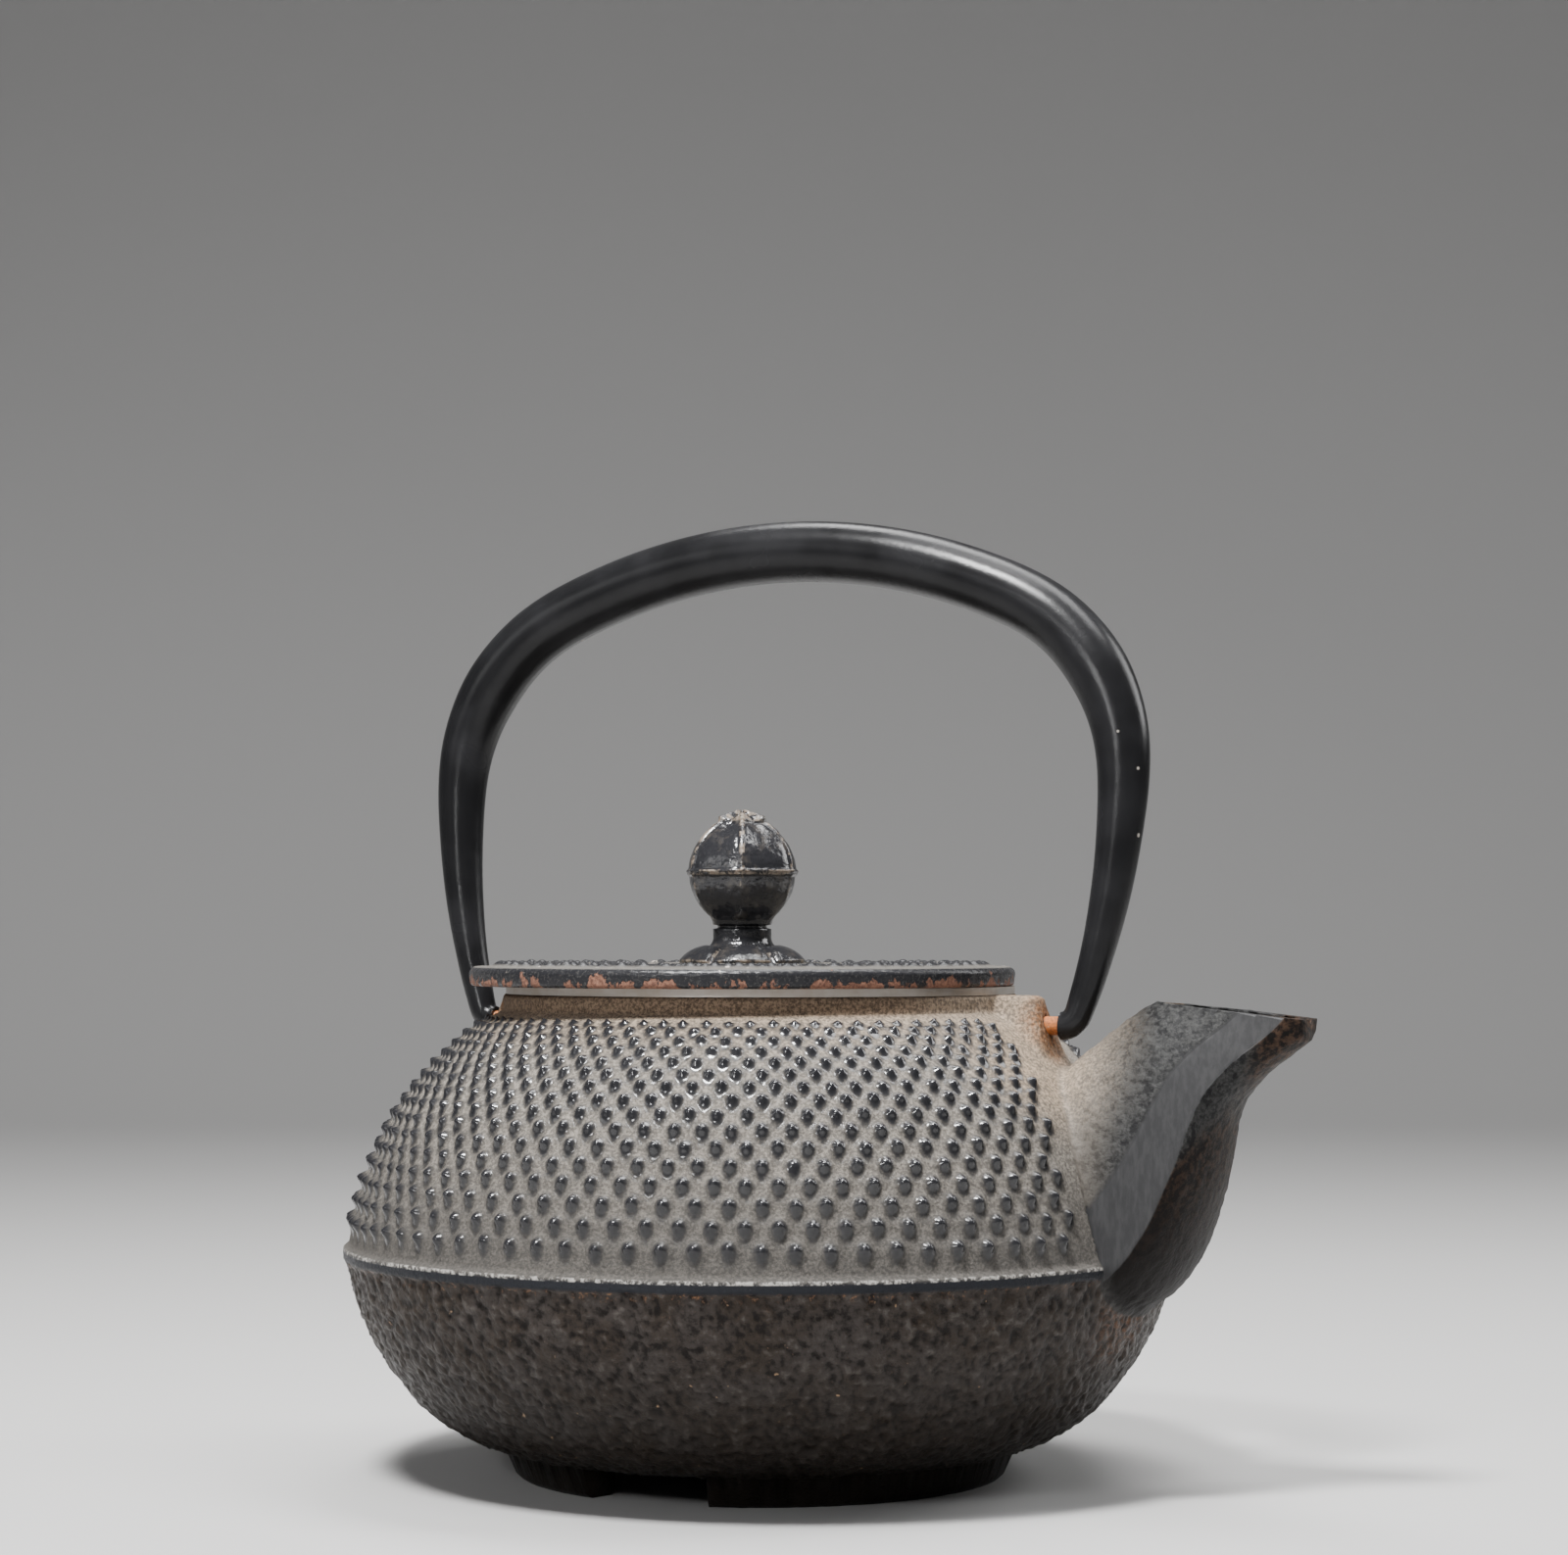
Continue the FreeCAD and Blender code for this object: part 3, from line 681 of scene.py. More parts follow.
def lid():
    thing = outward(turned_ring("lid", lid_outline(), LID_HOB_COUNT * 12, LID_AXIS))
    points, normals = read_points(thing)
    radius, turn = round_the_lid(points)
    row_number = np.log(np.maximum(radius, 1) / LID_HOB_FIRST) / math.log(LID_HOB_SHRINK)
    height = np.zeros(len(points))
    nearness_to_tip = np.zeros(len(points))
    for row, centre, shake in nearest_hobnails(row_number, turn, LID_HOB_ROWS, LID_HOB_COUNT, 0, 0):
        ring_radius = LID_HOB_FIRST * LID_HOB_SHRINK ** row
        across = (turn - centre) * radius + LID_HOB_WOBBLE * shake[:, 0]
        along = radius - ring_radius + LID_HOB_WOBBLE * shake[:, 1]
        scale = ring_radius / LID_HOB_FIRST
        distance = np.minimum(np.hypot(across, along) / (LID_HOB_RADIUS * scale), 1)
        bump = (1 - distance ** 2) ** 2.0
        height = np.maximum(height, (LID_HOB_HEIGHT + 0.09 * shake[:, 2]) * scale * bump)
        nearness_to_tip = np.maximum(nearness_to_tip, bump)
    top = (points[:, 2] > LID_TOP - 0.02) & (radius < LID_FIELD) & (radius > 15)
    height *= top
    edge = (radius > LID_FIELD + 1.2) & (points[:, 2] > LID_BOTTOM + 0.1)
    rough = edge * (0.10 * grain(points, 1.3, 4) + 0.05 * grain(points, 0.6, 5))
    write_points(thing, points + normals * (height + rough)[:, None])
    store(thing, "hobnail", nearness_to_tip * top)
    return thing


# --- knob ---

BALL_RADIUS = 10.05
BALL_CENTRE = 108.3
BALL_STEPS = 130
# the ball ends at its collar, this far round from its top
BALL_ENDS = math.radians(147)
KNOB_RIBS = 6
# the ribs face the side of the pot that has the spout to its right
KNOB_TURN = math.radians(-65.0)


def angle_to_rib(turn, offset=0.0):
    """Angle from the nearest of the knob's evenly spaced ribs, in radians."""
    pitch = 2 * math.pi / KNOB_RIBS
    return np.abs((turn - KNOB_TURN - offset + pitch / 2) % pitch - pitch / 2)


def ridge(distance, half_width):
    """1 on a line and 0 beyond its half width, with soft shoulders."""
    return smoothstep(-distance, -half_width, -0.25 * half_width)


def knob():
    """Moulded ball with ribs, a line round its middle and a small rosette on top."""
    seam = BALL_CENTRE + 0.2
    outline = [(0, BALL_CENTRE + BALL_RADIUS)]
    for i in range(1, BALL_STEPS):
        angle = BALL_ENDS * i / BALL_STEPS
        outline.append((BALL_RADIUS * math.sin(angle), BALL_CENTRE + BALL_RADIUS * math.cos(angle)))
    outline += trace(
        (5.5, 99.8), (0.25, (5.3, 99.1)), (0.25, (4.5, 98.9)), (0.2, (4.5, 98.5)),
        (0.25, (5.3, 98.3)), (0.3, (5.3, 96.6)), (0.25, (5.7, 95.6), (6.7, 94.9)),
        (0.3, (6.7, 94.6)), (1.0, (3, 94.6)))
    outline += [(0, 94.6)]
    thing = outward(lathe("knob", outline, 288, LID_AXIS))
    points, normals = read_points(thing)
    radius, turn = round_the_lid(points)
    up = points[:, 2] - seam
    ball = smoothstep(points[:, 2], 99.8, 100.6)
    rib = ridge(angle_to_rib(turn) * radius, 0.75)
    upper = ball * smoothstep(up, -0.1, 0.3)
    lower = ball * smoothstep(-up, 0.0, 0.4) * smoothstep(up, -6.0, -3.0)
    girdle = ball * ridge(np.abs(up), 0.8)
    panel = ball * (0.22 * np.cos(angle_to_rib(turn) * KNOB_RIBS) - 0.22)
    lobes = 0.5 + 0.5 * np.cos(KNOB_RIBS * (turn - KNOB_TURN))
    cap_edge = 3.9 + 0.5 * lobes
    cap = (up > 0) * smoothstep(-radius, -cap_edge - 0.2, -cap_edge + 0.2)
    groove = ridge(np.minimum(angle_to_rib(turn, math.pi / KNOB_RIBS) * radius, 9), 0.35)
    button = (up > 0) * smoothstep(-radius, -1.5, -1.1)
    height = 0.32 * rib * upper + 0.18 * rib * lower + 0.42 * girdle + 0.25 * upper + panel
    height += cap * (0.75 - 0.35 * groove * (1 - button)) + 0.3 * button
    height += 0.07 * grain(points, 1.5, 6) + 0.035 * grain(points, 0.6, 7)
    write_points(thing, points + normals * height[:, None])
    store(thing, "worn", np.maximum.reduce((rib * upper, 0.7 * rib * lower, girdle, cap)))
    return thing


def petal_seat():
    """Flared rosette of six convex petals under the knob, with flat ribs between them."""
    outline = trace(
        (3, 94.7), (0.5, (6.5, 94.7)), (0.22, (9.2, 94.0), (11.0, 92.5)),
        (0.12, (11.2, 92.2), (11.2, 91.9)), (0.2, (11.1, 91.6)), (1.5, (3, 91.6)))
    outline = [(0, 94.7), *outline, (0, 91.6)]
    thing = outward(lathe("petal_seat", outline, 288, LID_AXIS))
    points, normals = read_points(thing)
    radius, turn = round_the_lid(points)
    to_rib = angle_to_rib(turn, math.pi / KNOB_RIBS)
    slope = smoothstep(radius, 6.6, 7.4) * smoothstep(points[:, 2], 91.9, 92.4)
    rib = ridge(to_rib * radius, 0.8)
    petal = slope * (1 - rib) * (0.35 + 0.4 * np.sin(to_rib * KNOB_RIBS / 2))
    height = petal - 0.25 * slope * rib + 0.04 * grain(points, 0.9, 8)
    write_points(thing, points + normals * height[:, None])
    edge = smoothstep(-points[:, 2], -92.6, -92.2)
    store(thing, "worn", np.maximum(slope * rib, edge))
    return thing


# --- infuser ---

WIRE = 0.17
WEAVE = 1.3
# the wires lie in the middle of the plain sheet that they stand for
HALF_SHEET = 0.25


def wires(name, paths):
    """One mesh of square-section wires, each path an array of points with its side vectors."""
    points, faces = [], []
    count = 0
    for path, side in paths:
        along = np.gradient(path, axis=0)
        along /= np.linalg.norm(along, axis=1)[:, None]
        other = np.cross(along, side)
        corners = np.stack((side, other, -side, -other), 1) * WIRE
        ring = path[:, None] + corners
        points.append(ring.reshape(-1, 3))
        quads = np.array(grid_faces(len(path), 4)) + count
        faces += quads.tolist()
        last = count + 4 * (len(path) - 1)
        faces += [[count, count + 1, count + 2, count + 3], [last + 3, last + 2, last + 1, last]]
        count += 4 * len(path)
    return make_object(name, np.vstack(points), faces)


def mesh_wall():
    """Woven wire round the infuser: uprights and hoops that pass over and under in turn."""
    low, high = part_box("infuser_mesh_wall")
    bottom, top = low.z / MM, high.z / MM
    radius = (high.x - low.x) / 2 / MM - HALF_SHEET
    uprights = 2 * round(math.pi * radius / WEAVE)
    hoops = round((top - bottom) / WEAVE)
    paths = []
    rows = np.arange(2 * hoops + 1)
    heights = bottom + (top - bottom) * rows / (2 * hoops)
    for number in range(uprights):
        angle = 2 * math.pi * number / uprights
        sway = WIRE * np.sin(math.pi / 2 * rows) * (-1) ** number
        reach = radius + sway
        path = np.stack((reach * math.cos(angle), reach * math.sin(angle), heights), -1)
        side = np.tile((-math.sin(angle), math.cos(angle), 0), (len(rows), 1))
        paths.append((path, side))
    turns = np.arange(2 * uprights + 1)
    angles = math.pi * turns / uprights
    for number in range(hoops):
        sway = -WIRE * np.cos(math.pi / 2 * turns) * (-1) ** number
        reach = radius + sway
        height = bottom + (top - bottom) * (2 * number + 1) / (2 * hoops)
        path = np.stack((reach * np.cos(angles), reach * np.sin(angles), height + 0 * angles), -1)
        side = np.tile((0, 0, 1), (len(turns), 1))
        paths.append((path, side))
    return wires("infuser_mesh", paths)


def mesh_floor():
    """Woven disc across the bottom of the infuser."""
    low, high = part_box("infuser_mesh_floor")
    radius = (high.x - low.x) / 2 / MM
    height = (low.z + high.z) / 2 / MM
    half = int(radius / WEAVE)
    paths = []
    for number in range(-half, half + 1):
        offset = number * WEAVE
        reach = math.sqrt(radius * radius - offset * offset)
        steps = np.arange(-int(2 * reach / WEAVE), int(2 * reach / WEAVE) + 1)
        if len(steps) < 4:
            continue
        along = steps * WEAVE / 2
        flat = 0 * along + offset
        sway = WIRE * np.cos(math.pi / 2 * steps) * (-1) ** number
        up = np.tile((0, 0, 1), (len(steps), 1))
        paths.append((np.stack((along, flat, height + sway), -1), up))
        paths.append((np.stack((flat, along, height - sway), -1), up))
    return wires("infuser_floor", paths)


# --- materials ---


class Paint:
    """One node material. Its methods for nodes return the socket that carries their result."""

    def __init__(self, name):
        self.material = bpy.data.materials.new(name)
        self.material.use_nodes = True
        self.nodes = self.material.node_tree.nodes
        self.links = self.material.node_tree.links
        self.shader = self.nodes["Principled BSDF"]
        self.where = self.nodes.new("ShaderNodeTexCoord").outputs["Object"]
        self.apart = self.nodes.new("ShaderNodeSeparateXYZ")
        self.links.new(self.where, self.apart.inputs[0])

    def put(self, socket, value):
        if isinstance(value, bpy.types.NodeSocket):
            self.links.new(value, socket)
        elif isinstance(value, (tuple, list)) and len(value) == 3 and socket.type == "RGBA":
            socket.default_value = (*value, 1)
        else:
            socket.default_value = value

    def node(self, kind, inputs, output=0, **settings):
        """A new node with these settings, and with these inputs by name or number."""
        node = self.nodes.new("ShaderNode" + kind)
        for name, value in settings.items():
            setattr(node, name, value)
        for key, value in inputs.items():
            self.put(node.inputs[key], value)
        return node.outputs[output]

    def axis(self, letter):
        """Position along X, Y or Z in millimetres, in the frame."""
        return self.times(self.apart.outputs[letter], 1 / MM)

    def calc(self, operation, a, b):
        return self.node("Math", {0: a, 1: b}, operation=operation)

    def times(self, a, b):
        return self.calc("MULTIPLY", a, b)

    def ramp(self, value, low, high, to=(0.0, 1.0)):
        """A soft step, from the first number at low to the second at high."""
        ends = {"From Min": low, "From Max": high, "To Min": to[0], "To Max": to[1]}
        return self.node("MapRange", {"Value": value, **ends}, "Result", interpolation_type="SMOOTHSTEP")

    def noise(self, size, detail=3.0, roughness=0.6, stretch=(1, 1, 1), seed=0.0):
        """Noise from 0 to 1 whose bumps are about size millimetres wide."""
        shift = (seed, seed * 0.7, seed * 0.3)
        place = self.node("Mapping", {"Vector": self.where, "Scale": stretch, "Location": shift})
        scale = 1 / (size * MM)
        inputs = {"Vector": place, "Scale": scale, "Detail": detail, "Roughness": roughness}
        return self.node("TexNoise", inputs)

    def cells(self, size):
        """Distance from the middle of scattered cells, 0 at the middle."""
        inputs = {"Vector": self.where, "Scale": 1 / (size * MM), "Randomness": 1.0}
        return self.node("TexVoronoi", inputs, "Distance")

    def mark(self, name):
        """A number that was stored for each point of the mesh."""
        return self.node("Attribute", {}, "Fac", attribute_name=name)

    def near(self, place, reach):
        """1 close to a place in the frame, fading to 0 between two distances; all in millimetres."""
        spot = tuple(c * MM for c in place)
        away = self.node("VectorMath", {0: self.where, 1: spot}, "Value", operation="DISTANCE")
        return self.ramp(self.times(away, 1 / MM), reach[0], reach[1], (1.0, 0.0))

    def mix(self, factor, a, b):
        """Colour a where the factor is 0 and colour b where it is 1."""
        return self.node("Mix", {0: factor, 6: a, 7: b}, 2, data_type="RGBA")

    def blend(self, factor, a, b):
        """The same for two numbers."""
        return self.node("Mix", {0: factor, 2: a, 3: b}, data_type="FLOAT")

    def bump(self, height, depth):
        """Bumps of depth millimetres from a height of 0 to 1."""
        return self.node("Bump", {"Strength": 1.0, "Distance": depth * MM, "Height": height})

    def finish(self, colour, roughness, normal, metallic=0.0, specular=0.5):
        self.put(self.shader.inputs["Base Color"], colour)
        self.put(self.shader.inputs["Roughness"], roughness)
        self.put(self.shader.inputs["Metallic"], metallic)
        self.shader.inputs["Specular IOR Level"].default_value = specular
        self.links.new(normal, self.shader.inputs["Normal"])
        return self.material


def dress(thing, material):
    """Give the whole piece one material."""
    thing.data.materials.clear()
    thing.data.materials.append(material)
    thing.data.polygons.foreach_set("material_index", [0] * len(thing.data.polygons))


LACQUER = (0.016, 0.016, 0.018)
DULL_LACQUER = (0.040, 0.039, 0.038)
TIP_LACQUER = (0.015, 0.015, 0.017)
RIDGE_LACQUER = (0.013, 0.014, 0.017)
RUST = (0.26, 0.105, 0.035)
BROWN_RUST = (0.095, 0.045, 0.020)
GREY_DUST = (0.225, 0.208, 0.184)
WARM_DUST = (0.38, 0.29, 0.205)
DARK_DUST = (0.065, 0.058, 0.050)
NECK_TAN = (0.21, 0.150, 0.102)
NECK_BROWN = (0.070, 0.050, 0.036)
BOWL_BROWN = (0.027, 0.020, 0.015)
BOWL_GREY = (0.036, 0.030, 0.027)
# painted shade for the hollows of the cast grain
BOWL_HOLLOW_SHADE = (0.008, 0.006, 0.005)
# painted highlight for the raised bumps of the cast grain
BOWL_BUMP_HIGHLIGHT = (0.070, 0.062, 0.056)
BOWL_SPECK = (0.085, 0.055, 0.036)
# painted shade that darkens the bowl towards its foot
BOWL_FOOT_SHADE = (0.006, 0.0045, 0.0035)
BOWL_FLAKE = (0.26, 0.17, 0.10)
CHIN_RUST = (0.14, 0.065, 0.030)
RIDGE_RUST = (0.16, 0.085, 0.045)
# worn metal on the ridge's top edge, lightened as a painted highlight
RIDGE_WORN_HIGHLIGHT = (0.35, 0.335, 0.31)
SPOUT_PIT = (0.008, 0.008, 0.0085)
SPOUT_GREY = (0.036, 0.036, 0.035)
SPOUT_DUST = (0.17, 0.148, 0.124)
# black for the spout's pits and for painted shade on its lower front
FRONT_BLACK = (0.004, 0.003, 0.0025)
FRONT_BROWN = (0.042, 0.024, 0.015)
FILED_DARK = (0.026, 0.026, 0.027)
FILED_GREY = (0.036, 0.036, 0.037)


class PotPaint(Paint):
    """The pot's material: the results that its surfaces share, and a method for each surface."""

    def __init__(self):
        super().__init__("pot_iron")
        self.z = self.axis("Z")
        self.bare_and_shade = self.mark("bare_and_shade")
        self.ground = self.mark("ground")
        self.spout = self.mark("spout")
        self.fine = self.noise(0.55, 5, 0.7)
        self.cloud = self.noise(9, 4, 0.6)
        self.speck = self.noise(1.1, 4, 0.75, seed=3)
        self.pits = self.noise(1.25, 4, 0.65, seed=8)
        self.filed = self.noise(0.5, 3, 0.6, stretch=(0.6, 0.6, 0.12), seed=5)
        self.by_ear = self.near((POT_X + 55, -12, 77), (5, 25))
        self.above_ridge = self.ramp(self.z, RIDGE_TOP - 0.6, RIDGE_TOP + 0.1)
        warm = self.calc("MAXIMUM", self.ramp(self.z, 74, 84, (0.10, 0.75)), self.by_ear)
        dust = self.mix(warm, GREY_DUST, WARM_DUST)
        self.dust = self.mix(self.ramp(self.fine, 0.40, 0.58, (0.0, 0.75)), dust, DARK_DUST)

    def dome(self):
        """Dust round dust-free lacquer hobnails, with painted shade below each hobnail, the dome darker
        towards the bottom, and the brown neck.
        """
        edge = self.calc("ADD", self.bare_and_shade, self.ramp(self.speck, 0.3, 0.7, (-0.12, 0.12)))
        # the dust-free patch includes painted shade below each hobnail, where the dark lacquer shows
        dusty = self.ramp(edge, 0.62, 0.0)
        # the dome is darker towards the bottom
        dusty = self.times(dusty, self.ramp(self.z, 41, 72, (0.28, 1.0)))
        dusty = self.times(dusty, self.ramp(self.cloud, 0.3, 0.65, (0.80, 1.0)))
        # darkest lacquer where the patch is strongest: the tips and the painted shade below them
        lacquer = self.mix(self.ramp(self.bare_and_shade, 0.15, 0.75), DULL_LACQUER, TIP_LACQUER)
        dome = self.mix(dusty, lacquer, self.dust)
        neck = self.mix(self.ramp(self.fine, 0.38, 0.62), NECK_TAN, NECK_BROWN)
        neck = self.mix(self.by_ear, neck, self.dust)
        return self.mix(self.ramp(self.z, 82.6, 84.2), dome, neck)

    def bowl(self):
        """Rough brown iron, with painted shade in its hollows and towards the foot, painted highlights on
        its raised grain, and rust below the spout.
        """
        bowl = self.mix(self.ramp(self.cloud, 0.35, 0.65), BOWL_BROWN, BOWL_GREY)
        bumpy = self.times(self.noise(0.8, 4, 0.7, seed=15), 0.45)
        bumpy = self.calc("ADD", self.times(self.mark("relief"), 0.55), bumpy)
        # painted shade in the hollows of the cast grain
        bowl = self.mix(self.ramp(bumpy, 0.36, 0.54), BOWL_HOLLOW_SHADE, bowl)
        # painted highlight on the raised grain
        bowl = self.mix(self.ramp(bumpy, 0.55, 0.70, (0.0, 0.8)), bowl, BOWL_BUMP_HIGHLIGHT)
        bowl = self.mix(self.ramp(self.speck, 0.62, 0.74, (0.0, 0.7)), bowl, BOWL_SPECK)
        # painted shade: the bowl darkens towards the foot
        bowl = self.mix(self.ramp(self.z, 8, 34, (0.30, 1.0)), BOWL_FOOT_SHADE, bowl)
        flakes = self.ramp(self.noise(1.7, 2, 0.5, seed=12), 0.735, 0.765)
        bowl = self.mix(self.times(flakes, 0.8), bowl, BOWL_FLAKE)
        chin = self.near((POT_X + 74, -7, 33), (3, 15))
        rusty = self.times(chin, self.ramp(self.speck, 0.44, 0.62, (0.0, 0.6)))
        bowl = self.mix(rusty, bowl, CHIN_RUST)
        under_ridge = self.ramp(self.z, RIDGE_BOTTOM - 2.2, RIDGE_BOTTOM - 0.6)
        flecks = self.times(under_ridge, self.ramp(self.speck, 0.55, 0.68))
        bowl = self.mix(flecks, bowl, RIDGE_RUST)
        return self.mix(self.ramp(self.z, RIDGE_BOTTOM - 0.5, RIDGE_BOTTOM + 0.1), bowl, RIDGE_LACQUER)

    def body(self):
        """The bowl, the dome, and worn metal along the top of the ridge between them, painted lighter as
        its highlight.
        """
        body = self.mix(self.above_ridge, self.bowl(), self.dome())
        # worn metal on the ridge's top edge, lightened as a painted highlight
        lip = self.times(self.ramp(self.z, RIDGE_TOP - 0.6, RIDGE_TOP - 0.35),
                         self.ramp(self.z, RIDGE_TOP + 0.3, RIDGE_TOP))
        lip = self.times(lip, self.ramp(self.speck, 0.45, 0.60))
        return self.mix(lip, body, RIDGE_WORN_HIGHLIGHT)

    def spout_iron(self):
        """Pitted iron, dusty next to the dome, brown in front with painted shade darkening its lower
        part, and filed flat on its sides.
        """
        x = self.axis("X")
        grit = self.ramp(self.fine, 0.36, 0.60, (0.3, 1.0))
        grit = self.times(grit, self.ramp(self.pits, 0.38, 0.56))
        cast = self.mix(grit, SPOUT_PIT, SPOUT_GREY)
        near_dome = self.ramp(x, POT_X + 61, POT_X + 75, (0.75, 0.0))
        near_dome = self.times(near_dome, self.ramp(self.pits, 0.36, 0.56, (0.72, 1.0)))
        cast = self.mix(near_dome, cast, SPOUT_DUST)
        dusty = self.times(self.by_ear, self.ramp(self.pits, 0.36, 0.52, (0.65, 0.9)))
        cast = self.mix(dusty, cast, self.dust)
        front = self.mix(self.ramp(self.pits, 0.42, 0.64), FRONT_BLACK, FRONT_BROWN)
        # painted shade: the front turns black towards the bottom
        front = self.mix(self.ramp(self.z, 36, 74), FRONT_BLACK, front)
        parting = self.calc("SUBTRACT", x, self.ramp(self.z, 38, 82, (POT_X + 73, POT_X + 96)))
        cast = self.mix(self.ramp(parting, -1.5, 1.5), cast, front)
        flat = self.mix(self.ramp(self.filed, 0.35, 0.7), FILED_DARK, FILED_GREY)
        return self.mix(self.ground, cast, flat)

    def colour(self):
        """Body and spout, with rust round each hinge pin."""
        colour = self.mix(self.spout, self.body(), self.spout_iron())
        rust = self.mix(self.ramp(self.fine, 0.4, 0.6), RUST, BROWN_RUST)
        for side in (1, -1):
            by_pin = self.near((POT_X + EAR_SHIFT + side * EAR_ROOT[0], 0, PIN_AXIS), (3.0, 9.0))
            stain = self.times(by_pin, self.ramp(self.speck, 0.34, 0.60, (0.25, 0.95)))
            colour = self.mix(stain, colour, rust)
        return colour

    def roughness(self):
        """Dust and spout are dull, and bare lacquer shines."""
        rough = self.ramp(self.fine, 0.3, 0.7, (0.13, 0.28))
        rough = self.blend(self.above_ridge, self.ramp(self.fine, 0.3, 0.7, (0.26, 0.42)), rough)
        dusty = self.times(self.ramp(self.bare_and_shade, 0.34, 0.12), self.above_ridge)
        rough = self.blend(dusty, rough, 0.78)
        rough = self.blend(self.spout, rough, 0.55)
        return self.blend(self.ground, rough, 0.42)

    def texture(self):
        """Small bumps, deep in the dust and shallow on the hobnails and the filed flats."""
        deep = self.blend(self.above_ridge, 0.80, self.ramp(self.bare_and_shade, 0.45, 0.10, (0.16, 1.2)))
        deep = self.blend(self.spout, deep, 1.0)
        deep = self.blend(self.ground, deep, 0.10)
        grains = self.blend(self.spout, self.noise(0.55, 4, 0.7, seed=2), self.pits)
        return self.times(self.blend(self.ground, grains, self.filed), deep)

    def gloss(self):
        """Clear coat on the tips of the hobnails only."""
        gloss = self.ramp(self.bare_and_shade, 0.30, 0.60)
        gloss = self.times(gloss, self.ramp(self.speck, 0.30, 0.45, (0.35, 0.8)))
        return self.times(gloss, self.ramp(self.z, 41, 62, (0.55, 1.0)))


def pot_iron():
    paint = PotPaint()
    paint.put(paint.shader.inputs["Coat Weight"], paint.gloss())
    paint.shader.inputs["Coat Roughness"].default_value = 0.12
    bumps = paint.bump(paint.texture(), 0.22)
    return paint.finish(paint.colour(), paint.roughness(), bumps, specular=0.11)


CHIP_RUST = (0.24, 0.12, 0.08)
CHIP_BROWN = (0.09, 0.042, 0.030)
LID_GREY = (0.05, 0.048, 0.045)
LID_DUST = (0.095, 0.088, 0.078)
LID_PALE = (0.42, 0.37, 0.32)
KNOB_BROWN = (0.045, 0.040, 0.036)
PRIMER = (0.27, 0.23, 0.175)
DIRTY_PRIMER = (0.12, 0.075, 0.05)
HANDLE_BLACK = (0.007, 0.007, 0.0075)
HANDLE_SOFT = (0.012, 0.012, 0.013)
NICK = (0.34, 0.31, 0.27)
PIN_ORANGE = (0.46, 0.135, 0.022)
PIN_BROWN = (0.22, 0.065, 0.016)
PIN_BARE = (0.34, 0.22, 0.15)
STEEL = (0.50, 0.48, 0.45)
STEEL_STAIN = (0.22, 0.15, 0.10)
STAINLESS = (0.58, 0.56, 0.53)
TEA_FILM = (0.34, 0.25, 0.165)
ENAMEL_BLACK = (0.012, 0.012, 0.013)
TEA_BROWN = (0.040, 0.024, 0.014)


def lid_iron():
    """Glossy black lacquer, dusty between the hobnails and chipped to rust at the lower edge."""
    paint = Paint("lid_iron")
    z = paint.axis("Z")
    fine = paint.noise(0.5, 5, 0.7)
    patch = paint.noise(3.2, 5, 0.62, stretch=(1, 1, 0.7), seed=2)
    speck = paint.noise(1.0, 4, 0.7, seed=4)
    on_top = paint.ramp(z, LID_TOP - 0.35, LID_TOP - 0.1)
    recess = paint.ramp(paint.mark("hobnail"), 0.55, 0.02)
    dusty = paint.times(recess, paint.ramp(speck, 0.3, 0.5, (0.55, 1.0)))
    dusty = paint.times(dusty, on_top)
    chip_line = paint.ramp(z, LID_BOTTOM + 0.3, LID_TOP - 0.6, (0.475, 0.66))
    chipped = paint.ramp(paint.calc("SUBTRACT", patch, chip_line), -0.012, 0.02)
    chipped = paint.times(chipped, paint.calc("SUBTRACT", 1.0, on_top))
    rust = paint.mix(paint.ramp(fine, 0.35, 0.65), CHIP_RUST, CHIP_BROWN)
    colour = paint.mix(paint.ramp(fine, 0.52, 0.68), LACQUER, LID_GREY)
    colour = paint.mix(dusty, colour, LID_DUST)
    colour = paint.mix(chipped, colour, rust)
    pale = paint.ramp(paint.noise(2.4, 3, 0.5, seed=9), 0.69, 0.72)
    pale = paint.times(pale, paint.ramp(z, LID_TOP - 1.2, LID_TOP - 0.3))
    colour = paint.mix(paint.times(pale, 0.8), colour, LID_PALE)
    rough = paint.ramp(fine, 0.3, 0.7, (0.17, 0.32))
    rough = paint.blend(paint.calc("MAXIMUM", dusty, chipped), rough, 0.75)
    depth = paint.calc("ADD", paint.times(fine, 0.3), paint.times(chipped, -0.6))
    return paint.finish(colour, rough, paint.bump(depth, 0.18), specular=0.22)


def knob_iron():
    """Glossy black lacquer worn to beige primer along the raised edges."""
    paint = Paint("knob_iron")
    fine = paint.noise(0.45, 5, 0.7)
    patch = paint.noise(1.7, 5, 0.65, seed=6)
    blotch = paint.noise(3.0, 4, 0.6, seed=1)
    gone = paint.times(paint.ramp(paint.mark("worn"), 0.35, 0.85), paint.ramp(patch, 0.46, 0.60))
    colour = paint.mix(paint.ramp(blotch, 0.5, 0.7), LACQUER, KNOB_BROWN)
    beige = paint.mix(paint.ramp(fine, 0.35, 0.65), PRIMER, DIRTY_PRIMER)
    colour = paint.mix(paint.times(gone, 0.85), colour, beige)
    rough = paint.blend(gone, paint.ramp(fine, 0.3, 0.7, (0.10, 0.24)), 0.6)
    return paint.finish(colour, rough, paint.bump(paint.noise(1.3, 3, 0.6, seed=3), 0.15), specular=0.6)


